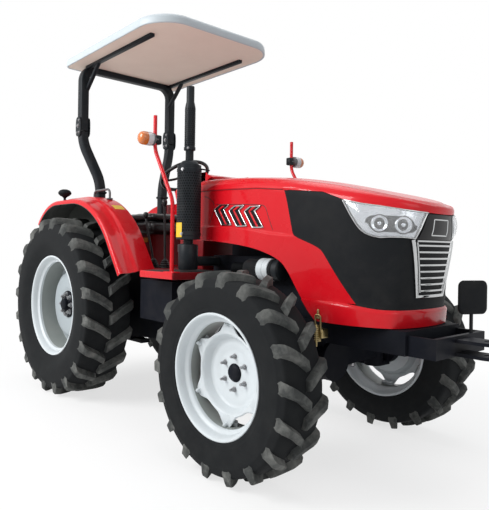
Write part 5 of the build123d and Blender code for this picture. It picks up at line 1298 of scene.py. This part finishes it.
def rounded_outline(half_x, half_y, corner, count=26):
    """Rounded rectangle in plan: four quarter circles about the corner centres."""
    t = np.linspace(0, math.pi / 2, count)
    turn = np.concatenate([t + k * math.pi / 2 for k in range(4)])
    sx = np.repeat([1, -1, -1, 1], count) * (half_x - corner)
    sy = np.repeat([1, 1, -1, -1], count) * (half_y - corner)
    return np.stack([sx + corner * np.cos(turn), sy + corner * np.sin(turn)], axis=1)


CANOPY_X, CANOPY_HALF_X, CANOPY_HALF_Y, CANOPY_BOW = REAR_X + 0.4225, 0.728, 0.592, 0.035


def canopy_rings(steps):
    """Outlines drawn in step by step at their heights: round front corners, tight rear ones, a bow."""
    rings = []
    for inset, z in steps:
        half_x, half_y = CANOPY_HALF_X - inset, CANOPY_HALF_Y - inset
        front = rounded_outline(half_x, half_y, max(0.240 - inset, 0.03))
        rear = rounded_outline(half_x, half_y, max(0.070 - inset, 0.03))
        plan = np.where(front[:, :1] > 0, front, rear)
        bow = CANOPY_BOW * (1 - (plan[:, 1] / CANOPY_HALF_Y) ** 2)
        plan[:, 0] += np.where(plan[:, 0] > 0, bow, 0) * plan[:, 0] / CANOPY_HALF_X
        rings.append(np.concatenate([plan + [CANOPY_X, 0], np.full((len(plan), 1), z)], axis=1))
    return np.stack(rings)


top_steps = [(0.018, 2.796), (0.006, 2.790), (0.001, 2.793), (0.0, 2.800), (0.001, 2.826), (0.004, 2.844),
             (0.012, 2.856), (0.034, 2.863), (0.100, 2.866), (0.300, 2.868), (0.500, 2.869)]
liner_steps = [(0.010, 2.795), (0.050, 2.800), (0.085, 2.808), (0.110, 2.824), (0.140, 2.832), (0.300, 2.834),
               (0.330, 2.838), (0.500, 2.838)]
piece("canopy_shell", surface(canopy_rings(top_steps), wrap_cols=True, caps=True), "white_shell", "roof_frame",
      ["canopy"], sharp=60)
liner = canopy_rings(liner_steps)
liner[..., 2] += 0.003 * np.sin(liner[..., 1] * 24) * (liner[..., 2] > 2.83)
piece("canopy_liner", surface(liner, wrap_cols=True, caps=True), "liner_board", "roof_frame", sharp=60)


# Marker posts and lamps at the platform's front corners
MARKER_FOOT, MARKER_X, MARKER_Y = FRONT_X - 0.655, FRONT_X - 0.863, 0.670
LAMP_Z, LAMP_SCALE = 1.920, 1.13
post_line = [
    (MARKER_FOOT, MARKER_Y, 1.050), (MARKER_FOOT, MARKER_Y, 1.505), (MARKER_X, MARKER_Y, 1.855),
    (MARKER_X, MARKER_Y, 2.080),
]
amber = np.array([(0.0, 0.109), (0.014, 0.108), (0.027, 0.103), (0.035, 0.093), (0.0385, 0.078), (0.0390, 0.058)])
clear = np.array([(0.0390, 0.058), (0.0395, 0.040), (0.0395, 0.022), (0.037, 0.016), (0.0, 0.016)])
boss = np.array([
    (0.0, 0.018), (0.034, 0.018), (0.037, 0.012), (0.037, 0.002), (0.030, -0.004), (0.020, -0.012), (0.020, -0.030),
    (0.0, -0.030),
])
lamp_parts = (("amber_lens", amber, "amber_lens"), ("clear_lens", clear, "lamp_frost"), ("boss", boss, "frame_grey"))
for side, name in SIDES:
    tube = bent_path(np.array(post_line) * [1, side, 1], 0.16, 10)
    foot = np.array([MARKER_FOOT, side * 0.672, 1.054])
    shapes = [carried(tube, circle_section(0.0130, 16), up=(0, 1, 0))]
    shapes.append(bar(foot - (0.055, 0, 0), foot + (0.055, 0, 0), 0.052, 0.008, 0.002))
    piece(f"marker_post_{name}", joined(shapes), "red_paint", "chassis", ["marker_posts"] if side < 0 else ())
    centre = (MARKER_X, side * 0.686, LAMP_Z)
    for label, profile, finish in lamp_parts:
        lamp = turned(profile * [LAMP_SCALE, side], centre, "y", 40)
        replaced = ["marker_lamps"] if side < 0 and label == "amber_lens" else ()
        piece(f"marker_lamp_{name}_{label}", lamp, finish, "chassis", replaced)
    middle = np.array([MARKER_X, side * 0.652, LAMP_Z])
    clamp = bar(middle - (0, 0, 0.030), middle + (0, 0, 0.030), 0.044, 0.044, 0.006, up=(1, 0, 0))
    piece(f"marker_lamp_{name}_clamp", clamp, "frame_paint", "chassis")


# Dashboard, steering wheel and column
def layered(outline, layers):
    """Outline in the side view carried across: at each crosswise place it is drawn in by an inset."""
    outline = np.asarray(outline, float)
    before, after = np.roll(outline, 1, 0) - outline, np.roll(outline, -1, 0) - outline
    inward = sum(edge / np.linalg.norm(edge, axis=1, keepdims=True) for edge in (before, after))
    area = np.sum(outline[:, 0] * np.roll(outline[:, 1], -1) - outline[:, 1] * np.roll(outline[:, 0], -1))
    bend = np.sign(before[:, 1] * after[:, 0] - before[:, 0] * after[:, 1]) * np.sign(area)
    inward = inward * bend[:, None]
    y, inset = np.asarray(layers, float).T[:, :, None]
    rows = np.stack(np.broadcast_arrays(
        outline[:, 0] + inset * inward[:, 0], y, outline[:, 1] + inset * inward[:, 1]), axis=2)
    return surface(rows, wrap_cols=True, caps=True)


round_layers = [(-0.210, 0.012), (-0.206, 0.004), (-0.198, 0.0), (0.198, 0.0), (0.206, 0.004), (0.210, 0.012)]
cowl = [(-0.838, 1.700), (-0.836, 1.724), (-0.900, 1.741), (-0.980, 1.754), (-1.058, 1.762), (-1.090, 1.752),
        (-1.180, 1.706), (-1.284, 1.652), (-1.286, 1.640), (-1.262, 1.545), (-1.240, 1.530), (-1.090, 1.410),
        (-0.960, 1.480), (-0.905, 1.700)]
cowl = np.array(cowl) + [FRONT_X, 0]
pillar = np.array([(-0.907, 1.050), (-0.907, 1.690), (-0.960, 1.690), (-1.078, 1.420),
                   (-1.078, 1.050)]) + [FRONT_X, 0]
bow = np.linspace(-1, 1, 25)
cowl_y = 0.150 * bow + 0.060 * np.sin(bow * math.pi / 2)
cowl_inset = 0.055 * (1 - np.sqrt(np.clip(1 - bow ** 6, 0, 1)))
piece("dashboard_cowl", layered(cowl, np.stack([cowl_y, cowl_inset], axis=1)), "red_paint", "chassis", sharp=40)
piece("dashboard_pillar", layered(pillar, round_layers), "dark_red_paint", "chassis", ["dashboard"])


def hinge_arms():
    """Hood hinge on the dashboard: an arm each side and the pin through it on the hood's turning line."""
    shapes = []
    for side in (-1, 1):
        shapes.append(bar((FRONT_X - 0.915, side * 0.180, 1.580), (FRONT_X - 0.760, side * 0.180, 1.580), 0.016,
                          0.060, 0.005))
        pin = np.array([(HINGE_X, side * y, HINGE_Z) for y in (0.100, 0.115, 0.185, 0.200)])
        shapes.append(carried(pin, circle_section(0.009, 18), scale=np.array([0.8, 1, 1, 0.8])))
    return joined(shapes)


def hinge_ears():
    """Rounded ears under the hood's rear edge that turn on the hinge pins."""
    t = np.linspace(math.pi, TAU, 17)
    top = crown_height(HINGE_X - FRONT_X) - 0.008
    outline = np.stack([HINGE_X + 0.024 * np.cos(t), HINGE_Z + 0.024 * np.sin(t)], axis=1)
    outline = np.concatenate([outline, [(HINGE_X + 0.024, top), (HINGE_X - 0.024, top)]])
    return joined([prism(outline, side * 0.138, side * 0.162) for side in (-1, 1)])


piece("dashboard_hinge_arms", hinge_arms(), "dark_paint", "chassis")
piece("hood_hinge_ears", hinge_ears(), "dark_red_paint", "hood")


COLUMN = np.array([-0.5, 0.0, math.cos(math.radians(30))])
rim_turn = np.arange(16) * TAU / 16
rim = np.stack([0.193 + 0.0145 * np.cos(rim_turn), 0.0145 * np.sin(rim_turn)], axis=1)
wheel_shapes = [turned(rim, (0, 0, 0), "z", 72, closed=True)]
hub = np.array([(0.0, 0.024), (0.026, 0.023), (0.036, 0.016), (0.040, 0.0), (0.038, -0.020), (0.017, -0.022)])
wheel_shapes.append(turned(hub, (0, 0, 0), "z", 36))
for angle in np.array([90, 210, 330]) * math.pi / 180:
    out = np.array([math.cos(angle), math.sin(angle), 0])
    spoke = np.stack([out * 0.030 + (0, 0, 0.002), out * 0.080 + (0, 0, -0.008),
                      out * 0.140 + (0, 0, -0.006), out * 0.192])
    wheel_shapes.append(carried(smooth_line(spoke, 5), box_section(0.026, 0.010, 0.004, 3)))
piece("steering_wheel_rim_and_hub", set_on(joined(wheel_shapes), [WHEEL], COLUMN), "gloss_black", "steering_wheel",
      ["steering_wheel"])
sleeve = np.array([(0.0, -0.024), (0.016, -0.024), (0.016, -0.058), (0.028, -0.062), (0.032, -0.074), (0.032, -0.150),
                   (0.036, -0.160), (0.040, -0.200), (0.044, -0.240), (0.0, -0.240)])
piece("steering_column_sleeve", set_on(turned(sleeve, (0, 0, 0), "z", 32), [WHEEL], COLUMN), "black_plastic",
      "chassis", ["steering_column"])


def dial_panel():
    """Instrument binnacle on the cowl's rear slope: a dark plate with plain round dials and no marks."""
    low, high = np.array([FRONT_X - 1.262, 0, 1.664]), np.array([FRONT_X - 1.120, 0, 1.737])
    along = (high - low) / np.linalg.norm(high - low)
    normal = np.cross(along, (0, 1.0, 0))
    normal = normal if normal[2] > 0 else -normal
    middle = (low + high) / 2 + normal * 0.001
    plate = carried(np.stack([middle - normal * 0.004, middle + normal * 0.004]),
                    box_section(0.300, 0.120, 0.030, 6), up=along)
    ring = turned(np.array([(0.0, 0.002), (0.030, 0.002), (0.033, 0.006), (0.037, 0.006), (0.038, 0.0)]),
                  (0, 0, 0), "z", 28)
    dials = set_on(ring, [middle + normal * 0.004 + np.array([0, y, 0]) for y in (-0.090, 0, 0.090)], normal)
    return plate, dials


dial_plate, dial_rings = dial_panel()
piece("dashboard_dial_plate", dial_plate, "gloss_black", "chassis")
piece("dashboard_dials", dial_rings, "frame_grey", "chassis")


# Seat: two stuffed cushions, modelled as pillows with sewn edges and pulled creases
def pillow(centre, half, count=72, crease=1.0):
    """Stuffed cushion: a cube pushed out to a rounded box by powers of the direction, creased by waves."""
    u = np.linspace(-1, 1, count)
    a, b = np.meshgrid(u, u, indexing="ij")
    shapes = []
    for axis in range(3):
        for sign in (-1, 1):
            coords = [None, None, None]
            coords[axis] = np.full_like(a, sign)
            coords[(axis + 1) % 3], coords[(axis + 2) % 3] = a, b * sign
            direction = np.stack(coords, axis=2)
            size = np.sum(np.abs(direction) ** np.array([9.0, 9.0, 3.2]), axis=2) ** (1 / 5.2)
            place = direction / size[..., None]
            x, y = place[..., 0], place[..., 1]
            waves = np.sin(9 * x + 5 * y + 2 * np.sin(4 * y)) + 0.7 * np.sin(15 * x - 11 * y + 1.3)
            waves += 0.5 * np.sin(23 * y + 6 * x * y)
            level = place[..., 2] * (1 + 0.030 * crease * waves * np.clip(1 - place[..., 0] ** 4, 0, 1))
            shapes.append(surface(np.stack([x, y, level], axis=2) * half + centre))
    return joined(shapes)


def edge_piping(centre, half, z, radius=0.0045):
    """Sewn cord round a cushion's widest line."""
    t = np.arange(120) * TAU / 120
    x, y = np.cos(t), np.sin(t)
    size = (np.abs(x) ** 9 + np.abs(y) ** 9) ** (1 / 9)
    ring = np.stack([x / size * half[0], y / size * half[1], 0 * x + z], axis=1) + centre
    return carried(ring, circle_section(radius, 8), closed=True)


SEAT = np.array([REAR_X + 0.345, 0.0, 0.0])
for name, middle, half, node in (
    ("seat_cushion_pad", SEAT + (0, 0, 1.3690), np.array([0.213, 0.228, 0.0560]), "seat_cushion"),
    ("seat_back_pad", SEAT + (0, 0, 1.4560), np.array([0.202, 0.217, 0.0320]), "seat_back"),
):
    pad = piece(name, pillow(middle, half), "seat_vinyl", "chassis", [node], sharp=80)
    piece(f"{name}_piping", edge_piping(middle, half * 0.985, 0.0), "seat_vinyl", "chassis")
base = rounded_outline(0.150, 0.160, 0.030, 8) + SEAT[:2]
heights = [(1.058, 1.0), (1.075, 0.985), (1.280, 0.94), (1.305, 0.98), (1.330, 1.0)]
base_rows = [np.concatenate([SEAT[:2] + (base - SEAT[:2]) * share, np.full((len(base), 1), z)],
                            axis=1) for z, share in heights]
piece("seat_pedestal", surface(np.stack(base_rows), wrap_cols=True, caps=True), "dark_red_paint", "chassis",
      ["seat_base"])


# Levers with boots, mat on the platform
def lever(x, height, lean):
    """Bent lever rod with a turned knob, standing in a folded rubber boot."""
    foot = np.array([REAR_X + x, -0.300, 1.052])
    head = foot + (lean, 0, height)
    rod = smooth_line([foot, foot + (lean * 0.2, 0, 0.3 * height), foot + (lean * 0.7, 0, 0.7 * height), head], 5)
    knob = np.array([(0.0, 0.050), (0.010, 0.049), (0.018, 0.043), (0.0215, 0.030), (0.020, 0.014), (0.012, 0.002),
                     (0.0085, -0.004)])
    folds = np.array([(0.046, 0.0), (0.045, 0.008), (0.036, 0.014), (0.040, 0.022), (0.032, 0.030), (0.035, 0.038),
                      (0.025, 0.046), (0.027, 0.054), (0.016, 0.062), (0.0095, 0.072)])
    return [carried(rod, circle_section(0.0085, 12), up=(0, 1, 0)), turned(knob, head, "z", 20),
            turned(folds, foot, "z", 28)]


piece("control_lever_set", joined(lever(0.725, 0.385, -0.120) + lever(0.875, 0.470, -0.015)), "gloss_black",
      "chassis", ["control_levers"])


PLATFORM_TOP, PLATFORM_HALF = 1.050, 0.690
PLATFORM_FRONT, WING_X = FRONT_X - 0.610, REAR_X + 1.150


def mat_ribs():
    """Ribbed rubber mat on both sides of the tunnel: thin bars side by side over the platform."""
    shapes = []
    for side in (-1, 1):
        y = side * np.linspace(0.250, 0.672, 22)
        rib = bar((FRONT_X - 0.630, 0, 1.0515), (REAR_X + 1.156, 0, 1.0515), 0.012, 0.007, 0.002)
        shapes.append(spread(rib, np.stack([0 * y, y, 0 * y], axis=1)))
    return joined(shapes)


piece("platform_mat_ribs", mat_ribs(), "rubber_mat", "chassis")


def platform_plate():
    """Platform: a flat outline round fenders and tunnel given its thickness, on four feet."""
    half = [(PLATFORM_FRONT - 0.260, 0.235), (PLATFORM_FRONT, 0.235), (PLATFORM_FRONT, PLATFORM_HALF),
            (WING_X, PLATFORM_HALF),
            (REAR_X + 0.930, 0.412), (REAR_X + 0.565, 0.410)]
    outline = half + [(x, -y) for x, y in half[::-1]]
    shapes = [prism(outline, PLATFORM_TOP - 0.025, PLATFORM_TOP, "z")]
    for x in (FRONT_X - 1.000, REAR_X + 0.625):
        for y in (-0.120, 0.120):
            shapes.append(bar((x, y, 0.958), (x, y, 1.030), 0.060, 0.060, 0.004, up=(1, 0, 0)))
    return joined(shapes)


def platform_edges():
    """Folded edge along each side of the platform with a rolled lip, and a strip across each front end in dark red,
    which is painted shade.
    """
    shapes, shaded_risers = [], []
    section = np.array([(0.0, 0.004), (0.007, 0.004), (0.012, 0.0), (0.012, -0.034), (0.009, -0.040), (0.0, -0.040)])
    for side in (-1, 1):
        y, z = side * (PLATFORM_HALF - 0.002 + section[:, 0]), PLATFORM_TOP - 0.001 + section[:, 1]
        ends = [np.stack([0 * y + x, y, z], axis=1) for x in (WING_X - 0.002, PLATFORM_FRONT - 0.002)]
        shapes.append(surface(np.stack(ends), wrap_cols=True, caps=True))
        x = PLATFORM_FRONT + 0.002
        shaded_risers.append(bar((x, side * 0.696, 1.030), (x, side * 0.236, 1.030), 0.008, 0.046, 0.002))
    return joined(shapes), joined(shaded_risers)


piece("platform_floor", platform_plate(), "dark_red_paint", "chassis", ["platform"])
platform_sides, platform_front_shades = platform_edges()
piece("platform_edge_strips", platform_sides, "red_paint", "chassis")
# The front strips take the darker red as painted shade.
piece("platform_front_strips", platform_front_shades, "dark_red_paint", "chassis")
label = rounded_outline(0.045, 0.020, 0.004, 4) + (SEAT[0] + 0.020, 1.268)
piece("seat_pedestal_plain_patch", prism(label, -0.1545, -0.1500), "yellow_patch", "chassis")


# Front mirror and hood latches
def mirror_plate():
    """Mirror shell: a rounded square blown slightly full at the back, turned a little to the right."""
    plan = rounded_outline(0.0865, 0.0865, 0.030, 8)
    rows = [(0.90, -0.011), (0.97, -0.009), (1.0, -0.003), (1.0, 0.006), (0.965, 0.010), (0.85, 0.012), (0.0, 0.012)]
    points = np.stack([np.concatenate([plan * share, np.full((len(plan), 1), depth)],
                                      axis=1) for share, depth in rows])
    turn = math.radians(-22)
    across = np.array([-math.sin(turn), math.cos(turn), 0])
    ahead = np.array([math.cos(turn), math.sin(turn), 0])
    centre = np.array([FRONT_X + 0.850, 0.140, 0.980])
    world = points[..., :1] * across + points[..., 1:2] * np.array([0, 0, 1.0]) + points[..., 2:] * ahead + centre
    return surface(world, wrap_cols=True, caps=True)


mirror_post = np.array([(FRONT_X + 0.846, 0.137, z) for z in (0.798, 0.850, 0.900, 0.960)])
piece("front_mirror_plate", mirror_plate(), "black_plastic", "chassis", ["front_mirror"])
piece("front_mirror_post", carried(mirror_post, box_section(0.026, 0.010, 0.003, 3), up=(1, 0, 0)),
      "black_plastic", "chassis")


LATCH_X = FRONT_X + 0.262


def latch(side):
    """Toggle latch: base plate on the frame, bent keeper wire past the skirt, spring round the pull rod."""
    x, y = LATCH_X, side * 0.358
    shapes = [bar((x, side * 0.300, 0.760), (x, y, 0.760), 0.050, 0.050, 0.006),
              bar((x, y, 0.716), (x, y, 0.806), 0.010, 0.044, 0.003, up=(0, 1, 0))]
    wire = bent_path([(x - 0.016, y, 0.770), (x - 0.018, y + side * 0.006, 0.862),
                      (x + 0.018, y + side * 0.006, 0.862), (x + 0.016, y, 0.770)], 0.014, 6)
    shapes.append(carried(wire, circle_section(0.0042, 8), up=(0, 1, 0)))
    t = np.linspace(0, 7 * TAU, 140)
    spring = np.stack([x + 0.011 * np.cos(t), y + side * 0.014 + 0.011 * np.sin(t),
                       0.722 + 0.074 * t / t[-1]], axis=1)
    shapes.append(carried(spring, circle_section(0.0028, 6)))
    shapes.append(bar((x, y + side * 0.014, 0.690), (x, y + side * 0.014, 0.810), 0.010, 0.010, 0.004, up=(0, 1, 0)))
    return joined(shapes)


def latch_hook(side):
    """Hook plate of the latch on the hood's skirt, with a rounded nose over the keeper wire."""
    x, y = LATCH_X, side * 0.350
    plate = bar((x, y, 0.838), (x, y, 0.892), 0.010, 0.034, 0.003, up=(0, 1, 0))
    nose = bar((x, y, 0.848), (x, y + side * 0.018, 0.846), 0.022, 0.010, 0.003)
    return joined([plate, nose])


piece("hood_latch_toggles", joined([latch(-1), latch(1)]), "brass", "chassis", ["hood_latches"])
piece("hood_latch_hooks", joined([latch_hook(-1), latch_hook(1)]), "brass", "hood")

# Camera from the fitted view, floor, backdrop and soft light
PICTURE_WIDE, PICTURE_TALL = 489, 510
FOCAL, CENTRE_ACROSS, CENTRE_DOWN = 551.0, 200, 247
yaw, pitch, roll = math.radians(50.94), math.radians(0.04), math.radians(0.89)
look = np.array([-math.sin(yaw) * math.cos(pitch), math.cos(yaw) * math.cos(pitch), -math.sin(pitch)])
right = np.array([math.cos(yaw), math.sin(yaw), 0.0])
upward = np.cross(right, look)
c, s = math.cos(roll), math.sin(roll)
right, upward = right * c + upward * s, upward * c - right * s
camera_data = bpy.data.cameras.new("camera")
camera_data.sensor_width = 36
camera_data.lens = FOCAL / PICTURE_TALL * camera_data.sensor_width
camera_data.shift_x = (PICTURE_WIDE / 2 - CENTRE_ACROSS) / PICTURE_TALL
camera_data.shift_y = (CENTRE_DOWN - PICTURE_TALL / 2) / PICTURE_TALL
camera = bpy.data.objects.new("camera", camera_data)
place = Matrix.Identity(4)
for column, axis in enumerate((right, upward, -look)):
    for row in range(3):
        place[row][column] = axis[row]
place.translation = (2.160 + FRONT_X, -2.727, 1.218)
camera.matrix_world = place
bpy.context.scene.collection.objects.link(camera)
bpy.context.scene.camera = camera
bpy.context.scene.view_settings.view_transform = "Standard"


def seen_rays(tree):
    """One for camera, glossy and see-through rays, nought for the rays that light the object."""
    path = tree.nodes.new("ShaderNodeLightPath")
    either = calc(tree, "ADD", path.outputs["Is Camera Ray"], path.outputs["Is Glossy Ray"])
    return calc(tree, "ADD", either, path.outputs["Is Transmission Ray"], True)


def white_world():
    """White to the camera, glossy and see-through rays, a softer light for the rest."""
    world = bpy.data.worlds.new("studio")
    world.use_nodes = True
    tree = world.node_tree
    tree.nodes.clear()
    soft, white = tree.nodes.new("ShaderNodeBackground"), tree.nodes.new("ShaderNodeBackground")
    mix, out = tree.nodes.new("ShaderNodeMixShader"), tree.nodes.new("ShaderNodeOutputWorld")
    soft.inputs["Color"].default_value = (0.94, 0.97, 1.0, 1)
    soft.inputs["Strength"].default_value = 0.36
    white.inputs["Color"].default_value = (1, 1, 1, 1)
    tree.links.new(seen_rays(tree), mix.inputs[0])
    tree.links.new(soft.outputs[0], mix.inputs[1])
    tree.links.new(white.outputs[0], mix.inputs[2])
    tree.links.new(mix.outputs[0], out.inputs[0])
    bpy.context.scene.world = world


def pale_floor():
    """Large pale floor: it takes light and shadow near the wheels and fades to the backdrop's white."""
    mesh = bpy.data.meshes.new("floor")
    mesh.from_pydata([(-60, -60, 0), (60, -60, 0), (60, 60, 0), (-60, 60, 0)], [], [(0, 1, 2, 3)])
    material = bpy.data.materials.new("floor_white")
    material.use_nodes = True
    tree = material.node_tree
    shader = tree.nodes["Principled BSDF"]
    shader.inputs["Base Color"].default_value = (0.92, 0.92, 0.92, 1)
    shader.inputs["Roughness"].default_value = 0.9
    shader.inputs["Specular IOR Level"].default_value = 0.1
    glow, mix = tree.nodes.new("ShaderNodeEmission"), tree.nodes.new("ShaderNodeMixShader")
    distance = tree.nodes.new("ShaderNodeVectorMath")
    distance.operation = "LENGTH"
    tree.links.new(tree.nodes.new("ShaderNodeTexCoord").outputs["Object"], distance.inputs[0])
    away = calc(tree, "MULTIPLY", calc(tree, "SUBTRACT", distance.outputs["Value"], 1.2), 0.5, True)
    share = calc(tree, "ADD", calc(tree, "MULTIPLY", away, 0.30), 0.70, True)
    tree.links.new(calc(tree, "MULTIPLY", share, seen_rays(tree)), mix.inputs[0])
    tree.links.new(shader.outputs[0], mix.inputs[1])
    tree.links.new(glow.outputs[0], mix.inputs[2])
    tree.links.new(mix.outputs[0], tree.nodes["Material Output"].inputs[0])
    mesh.materials.append(material)
    floor = bpy.data.objects.new("floor", mesh)
    bpy.context.scene.collection.objects.link(floor)


def area_light(name, position, target, size, power):
    """Soft square light aimed at a point."""
    data = bpy.data.lights.new(name, "AREA")
    data.shape = "SQUARE"
    data.size = size
    data.energy = power
    lamp = bpy.data.objects.new(name, data)
    back = np.subtract(position, target) / np.linalg.norm(np.subtract(position, target))
    side = np.cross((0, 0, 1), back)
    side /= np.linalg.norm(side)
    up = np.cross(back, side)
    turn = Matrix(np.stack([side, up, back], axis=1).tolist()).to_4x4()
    turn.translation = position
    lamp.matrix_world = turn
    bpy.context.scene.collection.objects.link(lamp)


white_world()
pale_floor()
area_light("key_light", (-2.2, -6.5, 5.0), (0, 0, 1.0), 4.0, 610)
area_light("front_light", (6.0, -1.5, 3.5), (0.5, 0, 1.0), 3.0, 50)
area_light("top_light", (0.0, 1.0, 7.0), (0, 0, 1.0), 5.0, 150)
